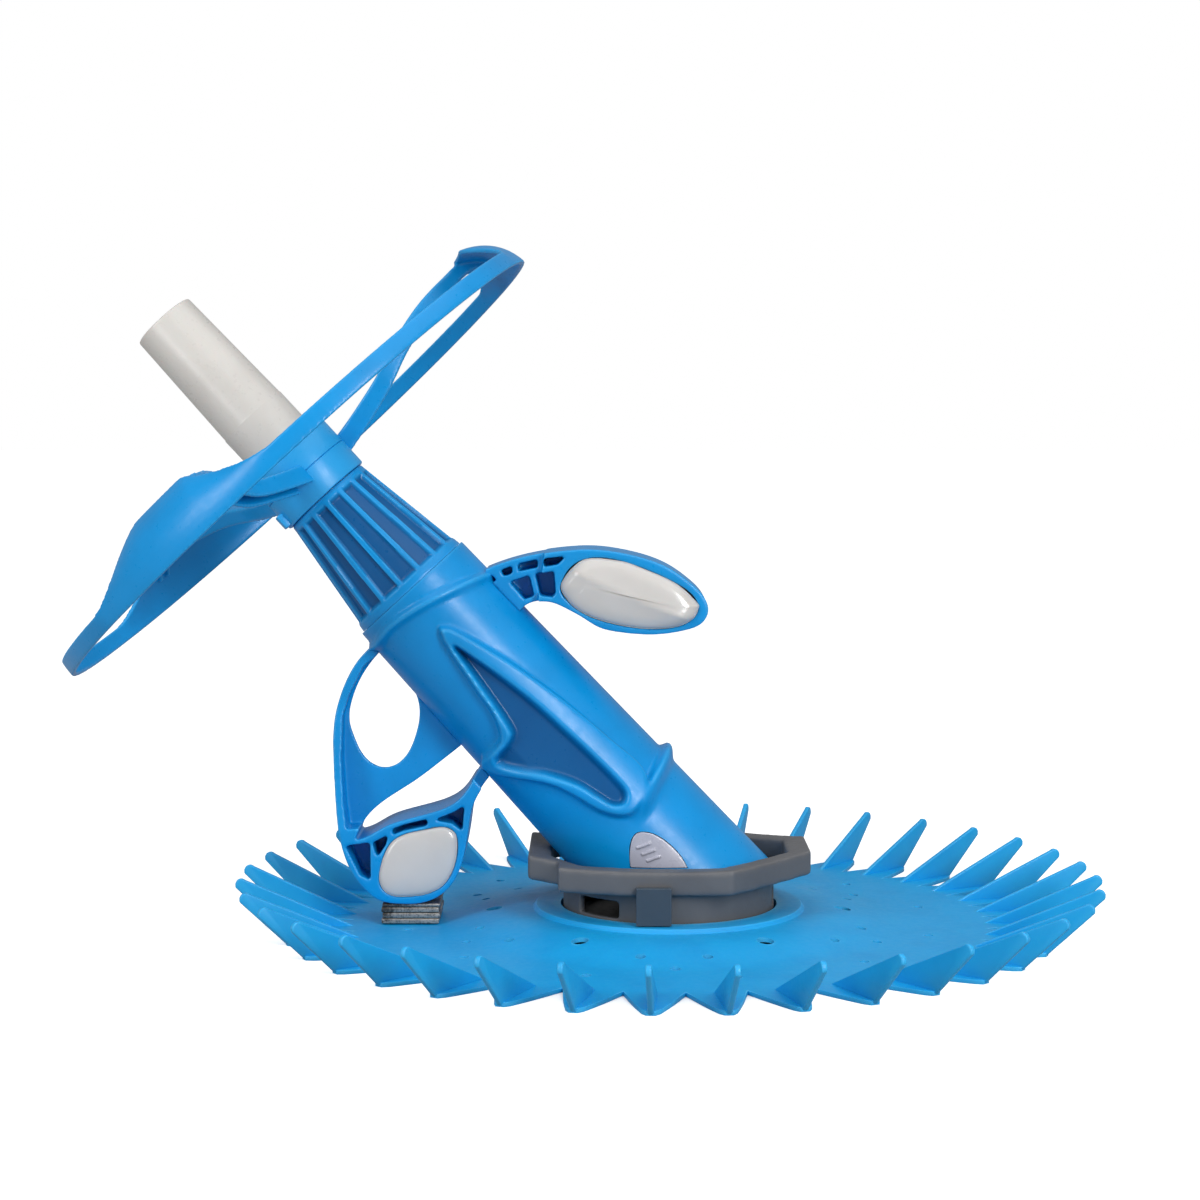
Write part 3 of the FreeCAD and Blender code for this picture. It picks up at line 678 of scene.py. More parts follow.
def turned_block(
    low: Sequence[float], high: Sequence[float], rounding: float, degrees: float
) -> bmesh.types.BMesh:
    """A rounded block turned about the vertical axis.

    Args:
        low: Lowest corner before the turn.
        high: Highest corner before the turn.
        rounding: Width of the rounded edges.
        degrees: The turn.

    Returns:
        The turned block.
    """
    bm = block(low, high, rounding)
    turn = Matrix.Rotation(math.radians(degrees), 3, "Z")
    bmesh.ops.rotate(bm, cent=(0, 0, 0), matrix=turn, verts=bm.verts)
    return bm


def joined(parts: Iterable[bmesh.types.BMesh]) -> bmesh.types.BMesh:
    """Put several shapes in one bmesh and free them.

    Args:
        parts: The shapes.

    Returns:
        One bmesh with all of them.
    """
    whole = bmesh.new()
    for part in parts:
        carrier = bpy.data.meshes.new("carrier")
        part.to_mesh(carrier)
        part.free()
        whole.from_mesh(carrier)
        bpy.data.meshes.remove(carrier)
    return whole


def cad_copy(*nodes: str) -> bmesh.types.BMesh:
    """A merged copy of one or more CAD nodes, in millimetres.

    Args:
        nodes: Names of the nodes.

    Returns:
        Their meshes in one bmesh.
    """
    bm = bmesh.new()
    for node in nodes:
        bm.from_mesh(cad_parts[node].data)
    bmesh.ops.scale(bm, vec=(1 / MM,) * 3, verts=bm.verts)
    bmesh.ops.remove_doubles(bm, verts=bm.verts, dist=1e-3)
    return bm


def evaluated(bm: bmesh.types.BMesh, modify: Callable[[bpy.types.Object], None]) -> bmesh.types.BMesh:
    """Run modifiers over a shape and give back the result.

    Args:
        bm: The shape; it is freed.
        modify: Adds the modifiers to the carrier object.

    Returns:
        The modified shape.
    """
    mesh = bpy.data.meshes.new("carrier")
    bm.to_mesh(mesh)
    bm.free()
    carrier = bpy.data.objects.new("carrier", mesh)
    bpy.context.scene.collection.objects.link(carrier)
    modify(carrier)
    graph = bpy.context.evaluated_depsgraph_get()
    result = bmesh.new()
    result.from_object(carrier, graph)
    bpy.data.objects.remove(carrier)
    bpy.data.meshes.remove(mesh)
    return result


def softened(bm: bmesh.types.BMesh, cell: float, passes: int, strength: float = 0.5) -> bmesh.types.BMesh:
    """Give a moulding its rounded edges and fillets.

    Args:
        bm: The sharp shape, in millimetres.
        cell: Size of the even surface cells, in millimetres.
        passes: How many times the surface is relaxed.
        strength: Share of each relaxing step.

    Returns:
        The soft-edged shape.
    """

    def modify(carrier: bpy.types.Object) -> None:
        """Add the remesh and the relaxing."""
        remesh = carrier.modifiers.new("even_cells", "REMESH")
        remesh.mode = "VOXEL"
        remesh.voxel_size = cell
        remesh.use_smooth_shade = True
        relax = carrier.modifiers.new("relax", "SMOOTH")
        relax.factor = strength
        relax.iterations = passes

    return evaluated(bm, modify)


def carved(bm: bmesh.types.BMesh, cutter: bmesh.types.BMesh) -> bmesh.types.BMesh:
    """Cut one shape out of another.

    Args:
        bm: The shape to cut; it is freed.
        cutter: The shape taken away; it is freed.

    Returns:
        What is left.
    """
    mesh = bpy.data.meshes.new("cutter")
    cutter.to_mesh(mesh)
    cutter.free()
    tool = bpy.data.objects.new("cutter", mesh)
    bpy.context.scene.collection.objects.link(tool)

    def modify(carrier: bpy.types.Object) -> None:
        """Add the cut."""
        cut = carrier.modifiers.new("cut", "BOOLEAN")
        cut.operation = "DIFFERENCE"
        cut.solver = "MANIFOLD"
        cut.object = tool

    result = evaluated(bm, modify)
    bpy.data.objects.remove(tool)
    bpy.data.meshes.remove(mesh)
    return result


def turned_copies(bm: bmesh.types.BMesh, count: int) -> None:
    """Repeat a shape evenly about the vertical axis.

    Args:
        bm: The shape, which gains the copies.
        count: How many there are in all.
    """
    bmesh.ops.spin(
        bm, geom=bm.verts[:] + bm.edges[:] + bm.faces[:], cent=(0, 0, 0), axis=(0, 0, 1),
        angle=2 * math.pi * (count - 1) / count, steps=count - 1, use_duplicate=True,
    )


def publish(
    bm: bmesh.types.BMesh,
    name: str,
    body: Body,
    finish: bpy.types.Material,
    replaces: Sequence[str],
    matrix: Optional[Matrix] = None,
    crease: float = 50.0,
) -> bpy.types.Object:
    """Turn a shape into a finished piece that rides on its body.

    Args:
        bm: The shape in millimetres; it is freed.
        name: The piece's name.
        body: The body it rides on.
        finish: Its material.
        replaces: The CAD nodes it stands for.
        matrix: From the shape's frame to metres; level if left out.
        crease: Angle above which an edge is shaded sharp, in degrees.

    Returns:
        The new object.
    """
    bmesh.ops.transform(bm, matrix=matrix or level_matrix(), verts=bm.verts)
    limit = math.radians(crease)
    for face in bm.faces:
        face.smooth = True
    for edge in bm.edges:
        edge.smooth = not (len(edge.link_faces) == 2 and edge.calc_face_angle(0.0) > limit)
    mesh = bpy.data.meshes.new(name)
    bm.to_mesh(mesh)
    bm.free()
    mesh.materials.append(finish)
    piece = bpy.data.objects.new(name, mesh)
    bpy.context.scene.collection.objects.link(piece)
    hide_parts(*replaces)
    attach(piece, body.value)
    LOG.info("piece %s: %d faces on %s", name, len(mesh.polygons), body.value)
    return piece


# ---------------------------------------------------------------- the body tube


@dataclass
class BodyTube:
    """The slanted tapered tube with its side pockets, ridge, band, neck and latch windows (millimetres)."""

    foot_radius: float = 41.1
    taper: float = 0.0218
    wall: float = 3.0
    top: float = 243.5
    cut_height: float = 31.0
    pipe_radius: float = 20.0
    neck_radius: float = 28.0
    around: int = 316
    along: int = 284
    pocket_rise: float = 5.0
    ridge_rise: float = 2.7
    band_rise: float = 4.9
    window_gap: float = 0.5
    # strength of the painted shade on the pocket floors
    pocket_shade: float = 0.72
    floor_offset: float = 0.4
    relax_passes: int = 2
    neck_length: float = 16.0
    shoulder: float = 4.0
    ridge: Outline = field(default_factory=lambda: [
        (-152.1, 151.6), (-144.8, 161.0), (-132.7, 169.8), (-117.9, 177.6), (-101.5, 184.2), (-90.0, 187.2)])
    pocket_outer: Outline = field(default_factory=lambda: [
        (-117.5, 160.0), (-92.0, 146.8), (-64.5, 127.4), (-46.1, 112.4), (-32.4, 100.4), (-17.0, 86.6),
        (-14.2, 76.0), (-20.0, 66.6), (-28.0, 65.6), (-37.3, 68.8), (-51.1, 77.2), (-65.0, 82.8),
        (-95.5, 88.6), (-86.0, 103.0), (-90.0, 117.6), (-99.5, 131.0)])
    pocket_inner: Outline = field(default_factory=lambda: [
        (-111.9, 152.2), (-96.8, 142.4), (-74.0, 124.8), (-55.7, 108.2), (-41.9, 95.2), (-29.9, 83.2),
        (-24.0, 76.0), (-24.6, 70.4), (-30.2, 69.8), (-37.4, 74.0), (-48.4, 80.6), (-65.0, 86.2),
        (-88.6, 91.4), (-82.4, 103.6), (-83.8, 111.4), (-101.4, 137.0)])
    latch: Outline = field(default_factory=lambda: [
        (-20.6, 36.8), (-20.8, 48.0), (-17.6, 54.6), (-10.4, 54.6), (-2.2, 50.0), (4.6, 43.4), (8.6, 36.8)])
    ridge_start: tuple[float, float] = (-57.0, 234.4)
    ridge_end: tuple[float, float] = (58.0, 214.0)

    def radius(self, station: Any) -> Any:
        """Outer radius at a station along the axis."""
        return self.foot_radius - self.taper * station

    def on_surface(self, points: Outline) -> np.ndarray:
        """Carry side-view points onto the unrolled surface.

        Args:
            points: X and Z in the side view.

        Returns:
            Distance round the surface from its side line, and station, for each point.
        """
        slope = math.radians(TUBE_SLOPE)
        place = np.array(points, float) - (TUBE_FOOT[0], 0.0)
        across = place[:, 0] * math.sin(slope) + place[:, 1] * math.cos(slope)
        station = -place[:, 0] * math.cos(slope) + place[:, 1] * math.sin(slope)
        reach = self.radius(station)
        return np.column_stack([reach * np.arcsin(np.clip(across / reach, -1, 1)), station])

    def relief(self, angle: np.ndarray, station: np.ndarray) -> tuple[np.ndarray, np.ndarray]:
        """How far the surface stands out from the plain cone.

        Args:
            angle: Angle from the side line towards the upper side, radians.
            station: Station along the axis.

        Returns:
            Outward offset at each place, and how far it lies in a pocket, 0 to 1.
        """
        reach = self.radius(station)
        spot = np.column_stack([reach * angle, station])
        seen_ridge = self.on_surface(smoothed(self.ridge, 6, False))
        ridge_line = np.vstack([self.ridge_start, seen_ridge, self.ridge_end])
        ridge = self.ridge_rise * (1 - smoothstep(0.9, 3.2, distance_to(spot, ridge_line)))
        outer = inside_distance(spot, self.on_surface(smoothed(self.pocket_outer, 4)))
        inner = inside_distance(spot, self.on_surface(smoothed(self.pocket_inner, 4)))
        floor_share = smoothstep(-0.6, 1.4, inner)
        wall = self.pocket_rise * smoothstep(-3.0, 0.2, outer) * (1 - floor_share)
        flat = np.minimum((reach - 2.5) / np.cos(np.clip(angle, -1.2, 1.2)) - reach, self.floor_offset)
        across = reach * np.sin(angle)
        middle = 85.0 + 0.285 * (across - 22.0)
        offset = station - middle
        band = self.band_rise * smoothstep(-9.0, -0.6, offset) * (1 - smoothstep(0.9, 2.6, offset))
        band *= smoothstep(4.0, 17.0, across)
        return np.maximum(np.maximum(ridge, wall), band) + flat * floor_share, floor_share

    def shell(self) -> bmesh.types.BMesh:
        """Make the relieved outside, the neck and the bore as one closed shell.

        Returns:
            The shell in the tube's own frame.
        """
        low, high = -42.0, self.top
        bm = bmesh.new()
        bmesh.ops.create_grid(bm, x_segments=self.around, y_segments=self.along, size=0.5)
        mesh = bpy.data.meshes.new("carrier")
        bm.to_mesh(mesh)
        bm.free()
        spots = np.empty(len(mesh.vertices) * 3)
        mesh.vertices.foreach_get("co", spots)
        spots = spots.reshape(-1, 3)
        turn = 2 * math.pi * spots[:, 0]
        station = low + (high - low) * (spots[:, 1] + 0.5)
        angle = np.arcsin(np.clip(np.sin(turn), -1, 1))
        offset, shade_share = self.relief(angle, station)
        reach = self.radius(station) + offset
        lip = smoothstep(high - 0.5, high, station) * 0.15
        placed = np.column_stack([(reach - lip) * np.sin(turn), -(reach - lip) * np.cos(turn), station])
        mesh.vertices.foreach_set("co", placed.ravel())
        # painted shade: the pocket floors are marked for the darker painted shade colour
        mesh.attributes.new("recess_shade", "FLOAT", "POINT").data.foreach_set("value", self.pocket_shade * shade_share)
        bm = bmesh.new()
        bm.from_mesh(mesh)
        bpy.data.meshes.remove(mesh)
        bmesh.ops.remove_doubles(bm, verts=bm.verts, dist=1e-3)
        free = [vert for vert in bm.verts if not vert.is_boundary]
        for _ in range(self.relax_passes):
            bmesh.ops.smooth_vert(
                bm, verts=free, factor=0.5, use_axis_x=True, use_axis_y=True, use_axis_z=True
            )
        rim = [edge for edge in bm.edges if edge.is_boundary and edge.verts[0].co.z > high - 0.1]
        chamfer, bore, under = 0.8, self.pipe_radius + 0.02, high - self.shoulder
        inner_steps = [
            (self.neck_radius, high), (self.neck_radius, high + self.neck_length - chamfer),
            (self.neck_radius - chamfer, high + self.neck_length), (bore, high + self.neck_length),
            (bore, under), (self.radius(under) - self.wall, under), (self.radius(low) - self.wall, low)]
        for reach_to, height in inner_steps:
            made = bmesh.ops.extrude_edge_only(bm, edges=rim)["geom"]
            rim = [item for item in made if isinstance(item, bmesh.types.BMEdge)]
            for vert in {vert for edge in rim for vert in edge.verts}:
                scale = reach_to / math.hypot(vert.co.x, vert.co.y)
                vert.co = (vert.co.x * scale, vert.co.y * scale, height)
        bmesh.ops.recalc_face_normals(bm, faces=bm.faces)
        return bm

    def windows(self) -> bmesh.types.BMesh:
        """Cutters for the two latch windows.

        Returns:
            Two prisms in the object's frame, millimetres.
        """
        shape = smoothed(self.latch, 5, False)
        middle_x = sum(x for x, _ in shape) / len(shape)
        middle_z = sum(z for _, z in shape) / len(shape)
        grown = []
        for x, z in shape:
            away = Vector((x - middle_x, z - middle_z))
            away *= 1 + self.window_gap / away.length
            grown.append((middle_x + away.x, middle_z + away.y))
        return joined([prism(grown, -60.0, -20.0), prism(grown, 20.0, 60.0)])

    def build(self, finishes: Finishes) -> bpy.types.Object:
        """Cut the shell to the floor plane and the windows, and dress it.

        Args:
            finishes: The cleaner's finishes.

        Returns:
            The finished tube.
        """
        bm = self.shell()
        bmesh.ops.transform(bm, matrix=Matrix.Scale(1 / MM, 4) @ tube_matrix(), verts=bm.verts)
        bmesh.ops.bisect_plane(
            bm, geom=bm.verts[:] + bm.edges[:] + bm.faces[:], plane_co=(0, 0, self.cut_height),
            plane_no=(0, 0, 1), clear_inner=True,
        )
        ends = [edge for edge in bm.edges if edge.is_boundary]
        bmesh.ops.bridge_loops(bm, edges=ends)
        bmesh.ops.recalc_face_normals(bm, faces=bm.faces)
        bm = carved(bm, self.windows())
        return publish(bm, "body_tube_shell", Body.CHASSIS, finishes.body_blue, ["body_tube"])


# ---------------------------------------------------------------- frame, handle and their covers


@dataclass
class SoftMoulding:
    """A plastic moulding with filleted ribs and rounded rims, taken from its CAD shape."""

    name: str
    nodes: tuple[str, ...]
    body: Body
    slot: Slot
    cell: float = 0.8
    passes: int = 4

    def build(self, finish: bpy.types.Material) -> bpy.types.Object:
        """Soften the shape and dress it.

        Args:
            finish: The material.

        Returns:
            The finished moulding.
        """
        bm = softened(cad_copy(*self.nodes), self.cell, self.passes)
        return publish(bm, self.name, self.body, finish, self.nodes, crease=80.0)


@dataclass
class DomedCover:
    """A white cover that swells out of its chamber, mirrored on the far side (millimetres)."""

    name: str
    outline: Outline
    spine: tuple[tuple[float, float], tuple[float, float]]
    half_width: float = 20.0
    height: float = 4.0
    rings: int = 14
    crease_height: float = 0.0
    rim_stand: float = 0.2
    rim_share: float = 0.03
    dome_share: float = 0.95

    def spine_point(self, x: float, z: float) -> tuple[float, float]:
        """Nearest point of the spine to a side-view point.

        Args:
            x: The point's X.
            z: The point's Z.

        Returns:
            X and Z on the spine.
        """
        (ax, az), (bx, bz) = self.spine
        run_x, run_z = bx - ax, bz - az
        share = ((x - ax) * run_x + (z - az) * run_z) / (run_x**2 + run_z**2)
        share = min(1.0, max(0.0, share))
        return ax + share * run_x, az + share * run_z

    def dome(self) -> bmesh.types.BMesh:
        """Draw the near cover: spigot, rim and dome.

        Returns:
            The cover facing -Y.
        """
        points = smoothed(self.outline, 8)
        bm = bmesh.new()
        face = bm.faces.new([bm.verts.new((x, -self.half_width + 2.6, z)) for x, z in points])
        starts = [vert.co.copy() for vert in face.verts]
        rim = -self.half_width - self.rim_stand
        stages = [(0.006, rim)]
        for ring in range(self.rings + 1):
            turn = math.pi / 2 * ring / self.rings
            share = self.rim_share + self.dome_share * (1 - math.cos(turn))
            stages.append((share, rim - self.height * math.sin(turn)))
        for share, depth in stages:
            made = bmesh.ops.extrude_discrete_faces(bm, faces=[face])["faces"]
            face = made[0]
            for vert, start in zip(face.verts, starts):
                mid_x, mid_z = self.spine_point(start.x, start.z)
                vert.co = (start.x + (mid_x - start.x) * share, depth, start.z + (mid_z - start.z) * share)
        if self.crease_height:
            self.add_crease(bm)
        bmesh.ops.recalc_face_normals(bm, faces=bm.faces)
        return bm

    def add_crease(self, bm: bmesh.types.BMesh) -> None:
        """Raise a soft S-shaped crease along the cover.

        Args:
            bm: The cover.
        """
        (ax, az), (bx, bz) = self.spine
        length = math.hypot(bx - ax, bz - az)
        for vert in bm.verts:
            depth = (-self.half_width - vert.co.y) / self.height
            if depth <= 0.05:
                continue
            along = ((vert.co.x - ax) * (bx - ax) + (vert.co.z - az) * (bz - az)) / length**2
            across = ((vert.co.x - ax) * (bz - az) - (vert.co.z - az) * (bx - ax)) / length
            line = 9.0 * (0.5 - along) * (1 if along < 0.5 else 0.75)
            gap = across + line
            fall = math.exp(-abs(gap) / 6.0)
            vert.co.y -= self.crease_height * fall * min(1.0, depth * 1.2)

    def build(self, finishes: Finishes) -> None:
        """Dress the near cover and its mirror.

        Args:
            finishes: The cleaner's finishes.
        """
        for side, sign in (("near", 1.0), ("far", -1.0)):
            bm = self.dome()
            if sign < 0:
                bmesh.ops.scale(bm, vec=(1, -1, 1), verts=bm.verts)
                bmesh.ops.recalc_face_normals(bm, faces=bm.faces)
            node = f"{self.name}_cover_{side}"
            publish(
                bm, f"{node}_dome", Body.CHASSIS, finishes.cover_white, [node], crease=60.0
            )


# ---------------------------------------------------------------- collar, hub, connector


@dataclass
class TwistCollar:
    """The fluted hand collar above the tube (millimetres)."""

    bottom: float = 243.65
    top: float = 309.2
    bottom_radius: float = 33.8
    top_radius: float = 24.2
    ribs: int = 16
    rib_half: float = 1.15
    flute_depth: float = 2.2
    # strength of the painted shade in the flutes
    flute_shade: float = 0.75
    neck_room: float = 28.4
    pipe_room: float = 20.4
    ledge_depth: float = 3.4
    flare_height: float = 262.0
    rim_rise: float = 0.6
    rim_height: float = 5.0
    across_rib: int = 20
    levels: int = 64

    def build(self, finishes: Finishes) -> bpy.types.Object:
        """Spin the collar and press the flutes into it.

        Args:
            finishes: The cleaner's finishes.

        Returns:
            The finished collar.
        """
        slope = (self.top_radius - self.bottom_radius) / (self.top - self.bottom)
        profile = [(self.neck_room, self.bottom), (self.bottom_radius - 0.2, self.bottom)]
        for level in range(self.levels + 1):
            height = self.bottom + 0.5 + (self.top - self.bottom - 1.0) * level / self.levels
            profile.append((self.bottom_radius + slope * (height - self.bottom), height))
        profile += [(self.top_radius - 0.5, self.top), (self.pipe_room, self.top)]
        profile.append((self.pipe_room, self.top - self.ledge_depth))
        profile += [(self.bottom_radius - 6.4, self.flare_height), (self.neck_room, self.flare_height - 1.6)]
        bm = spun(profile, self.ribs * self.across_rib)
        # painted shade: each flute's depth sets how much darker colour is painted there
        recess_shade = bm.verts.layers.float.new("recess_shade")
        pitch = 2 * math.pi / self.ribs
        for vert in bm.verts:
            radius = math.hypot(vert.co.x, vert.co.y)
            height = vert.co.z
            plain = self.bottom_radius + slope * (height - self.bottom)
            if radius < plain - 0.4:
                continue
            angle = math.atan2(vert.co.y, vert.co.x)
            side = abs((angle / pitch) % 1.0 - 0.5) * pitch * radius
            edge = pitch * radius / 2 - side
            low = min(1.0, max(0.0, (height - self.bottom - self.rim_height) / 1.1))
            high = min(1.0, max(0.0, (self.top - 3.0 - height) / 3.0))
            depth = self.flute_depth * ease((edge - self.rib_half) / 0.9) * ease(low) * ease(high)
            rise = self.rim_rise * ease((self.bottom + self.rim_height - height) / 0.8)
            vert[recess_shade] = self.flute_shade * depth / self.flute_depth
            scale = (radius - depth + rise) / radius
            vert.co.x *= scale
            vert.co.y *= scale
        bmesh.ops.recalc_face_normals(bm, faces=bm.faces)
        return publish(
            bm, "twist_collar_fluted", Body.COLLAR, finishes.body_blue, ["twist_collar"],
            tube_matrix(), 70.0,
        )



@dataclass
class WheelHub:
    """The hub of the deflector wheel with its parting groove and thumb tab (millimetres)."""

    bottom: float = 309.45
    top: float = 340.4
    radius: float = 26.0
    bore: float = 20.06
    groove: float = 325.2
    washer_room: float = 22.9
    washer_depth: float = 0.6
    tab_turn: float = 18.0

    def build(self, finishes: Finishes) -> bpy.types.Object:
        """Spin the hub, add its tab and dress it.

        Args:
            finishes: The cleaner's finishes.

        Returns:
            The finished hub.
        """
        outer = self.radius
        profile = [
            (self.bore, self.bottom + self.washer_depth), (self.washer_room, self.bottom + self.washer_depth),
            (self.washer_room, self.bottom),
            (outer - 0.9, self.bottom), (outer - 0.25, self.bottom + 0.3),
            (outer, self.bottom + 0.9), (outer, self.groove - 0.35), (outer - 0.45, self.groove - 0.1),
            (outer - 0.45, self.groove + 0.1), (outer, self.groove + 0.35), (outer, self.top - 0.9),
            (outer - 0.25, self.top - 0.3), (outer - 0.9, self.top), (self.bore, self.top)]
        tab = turned_block(
            (-outer - 2.6, -6.0, self.bottom + 1), (-outer + 1.5, 0.0, self.bottom + 9), 0.7, self.tab_turn
        )
        bm = joined([spun(profile, 144), tab])
        return publish(
            bm, "wheel_hub_turned", Body.WHEEL, finishes.body_blue, ["deflector_hub"],
            tube_matrix(), 35.0,
        )


@dataclass
class HoseTail:
    """The white swivelling hose tail (millimetres)."""

    base: float = 341.0
    top: float = 434.0
    spigot: float = 16.44
    land: float = 19.5
    land_top: float = 366.0
    tail_bottom: float = 19.2
    tail_top: float = 17.4
    bore: float = 14.2
    spigot_bottom: float = 320.0
    shoulder: float = 22.0
    tab_turn: float = 30.0

    def build(self, finishes: Finishes) -> bpy.types.Object:
        """Spin the tail, add its lock tab and dress it.

        Args:
            finishes: The cleaner's finishes.

        Returns:
            The finished hose tail.
        """
        profile = [
            (self.bore, self.spigot_bottom), (self.spigot - 0.5, self.spigot_bottom),
            (self.spigot, self.spigot_bottom + 0.6), (self.spigot, self.base),
            (self.shoulder - 0.4, self.base), (self.shoulder, self.base + 0.4),
            (self.shoulder, self.base + 2.6),
            (self.shoulder - 0.5, self.base + 3.2), (self.shoulder - 1.8, self.base + 3.9),
            (self.land, self.base + 4.5), (self.land, self.land_top - 0.4), (self.land - 0.12, self.land_top),
            (self.tail_bottom, self.land_top + 0.4), (self.tail_top, self.top - 1.0),
            (self.tail_top - 0.3, self.top - 0.35), (self.tail_top - 1.0, self.top),
            (self.bore + 0.6, self.top),
            (self.bore, self.top - 0.6)]
        tab = turned_block((-22.6, -5.0, self.base + 0.2), (-17.0, 0.0, self.base + 4.4), 0.8, self.tab_turn)
        bm = joined([spun(profile, 160), tab])
        return publish(
            bm, "hose_tail_turned", Body.CONNECTOR, finishes.connector_white,
            ["hose_connector"], tube_matrix(), 35.0,
        )


@dataclass
class DeflectorWheel:
    """The wheel's rim, its three cupped petals and three channel arms, one moulding (millimetres)."""

    rim_radius: float = 160.0
    rim_bottom: float = 328.5
    rim_top: float = 338.0
    petal_radius: float = 138.0
    petal_top: float = 357.0
    wall: float = 2.9
    arms: int = 3
    levels: int = 10
    steps: int = 300
    cell: float = 0.95
    stations: tuple[tuple[float, float, float, float, float], ...] = (
        (24.5, -4.0, 323.5, 12.0, 11.0), (40.0, -14.0, 327.0, 11.5, 10.5), (62.0, -20.0, 333.0, 11.0, 10.0),
        (84.0, -18.5, 341.5, 10.5, 9.6), (106.0, -14.5, 347.5, 10.0, 9.0), (126.0, -13.0, 350.0, 9.5, 8.0),
        (141.0, -12.8, 350.4, 9.0, 7.2), (150.5, -12.8, 344.6, 9.0, 7.0))

    def rise(self, degrees: float) -> float:
        """Share of a petal's full height at an angle, where 0 faces -Y.

        Args:
            degrees: Angle round the wheel.

        Returns:
            0 on the plain rim, 1 at a petal's crest.
        """
        local = (degrees + 87.0) % 120.0 - 87.0
        climb = ease((local + 45.0) / 19.5)
        fall = min(1.0, max(0.0, (5.0 - local) / 17.5)) ** 1.5
        return climb * fall

    def rim_point(self, share: float, rise: float, depth: float) -> tuple[float, float]:
        """Radius and station of a point of the rim's section.

        Args:
            share: 0 at the rim's lower edge, 1 at the petal's crest.
            rise: The petal's rise here.
            depth: Distance in from the outer face.

        Returns:
            Radius and station.
        """
        start = (self.rim_radius, self.rim_bottom)
        bend = (self.rim_radius - 2.5 * rise, 333.5 + 16.3 * rise)
        end = (self.rim_radius - 1.0 - (self.rim_radius - 1.0 - self.petal_radius) * rise,
               self.rim_top + (self.petal_top - self.rim_top) * rise)
        rest = 1 - share
        radius = rest * rest * start[0] + 2 * rest * share * bend[0] + share * share * end[0]
        station = rest * rest * start[1] + 2 * rest * share * bend[1] + share * share * end[1]
        run = rest * (bend[0] - start[0]) + share * (end[0] - bend[0])
        climb = rest * (bend[1] - start[1]) + share * (end[1] - bend[1])
        length = math.hypot(run, climb)
        return radius - depth * climb / length, station + depth * run / length

    def rim(self) -> bmesh.types.BMesh:
        """Spin a band and lift it into the three petals.

        Returns:
            The closed rim.
        """
        outer = [(self.rim_radius, float(level)) for level in range(self.levels + 1)]
        inner = [(self.rim_radius - self.wall, float(level)) for level in range(self.levels, -1, -1)]
        bm = spun(outer + inner, self.steps)
        for vert in bm.verts:
            reach = math.hypot(vert.co.x, vert.co.y)
            degrees = math.degrees(math.atan2(vert.co.x, -vert.co.y))
            share = vert.co.z / self.levels
            depth = 0.0 if reach > self.rim_radius - self.wall / 2 else self.wall - 0.5 * share
            radius, station = self.rim_point(share, self.rise(degrees), depth)
            vert.co = (vert.co.x * radius / reach, vert.co.y * radius / reach, station)
        return bm

    def arm(self, index: int) -> bmesh.types.BMesh:
        """Loft one channel arm from the hub to its petal.

        Args:
            index: Which of the three arms.

        Returns:
            The closed arm.
        """
        wall = 2.3
        tracks = [smoothed([(float(place), row[column]) for place, row in enumerate(self.stations)], 7, False)
                  for column in range(5)]
        bm = bmesh.new()
        loops: list[list[bmesh.types.BMEdge]] = []
        for (_, radius), (_, degrees), (_, station), (_, width), (_, height) in zip(*tracks):
            angle = math.radians(degrees + 120.0 * index)
            out = Vector((math.sin(angle), -math.cos(angle), 0.0))
            side = Vector((math.cos(angle), math.sin(angle), 0.0))
            half, rest = width / 2, height / 2
            section = [(-half, -rest), (-half, rest), (half, rest), (half, -rest), (half - wall, -rest),
                       (half - wall, rest - wall), (-half + wall, rest - wall), (-half + wall, -rest)]
            verts = [bm.verts.new(out * radius + side * across + Vector((0, 0, station + up)))
                     for across, up in section]
            loops.append([bm.edges.new(pair) for pair in zip(verts, verts[1:] + verts[:1])])
        for before, after in zip(loops, loops[1:]):
            bmesh.ops.bridge_loops(bm, edges=before + after)
        bmesh.ops.holes_fill(bm, edges=bm.edges, sides=8)
        bmesh.ops.recalc_face_normals(bm, faces=bm.faces)
        return bm

    def build(self, finishes: Finishes) -> bpy.types.Object:
        """Grow the arms into the rim and dress the wheel.

        Args:
            finishes: The cleaner's finishes.

        Returns:
            The finished wheel without its hub.
        """
        whole = joined([self.rim()] + [self.arm(index) for index in range(self.arms)])
        bm = softened(whole, self.cell, 3)
        nodes = [f"deflector_{part}_{index}" for part in ("rim", "spoke") for index in (1, 2, 3)]
        return publish(bm, "deflector_wheel_moulded", Body.WHEEL, finishes.body_blue, nodes,
                       tube_matrix(), 80.0)


# ---------------------------------------------------------------- the disc


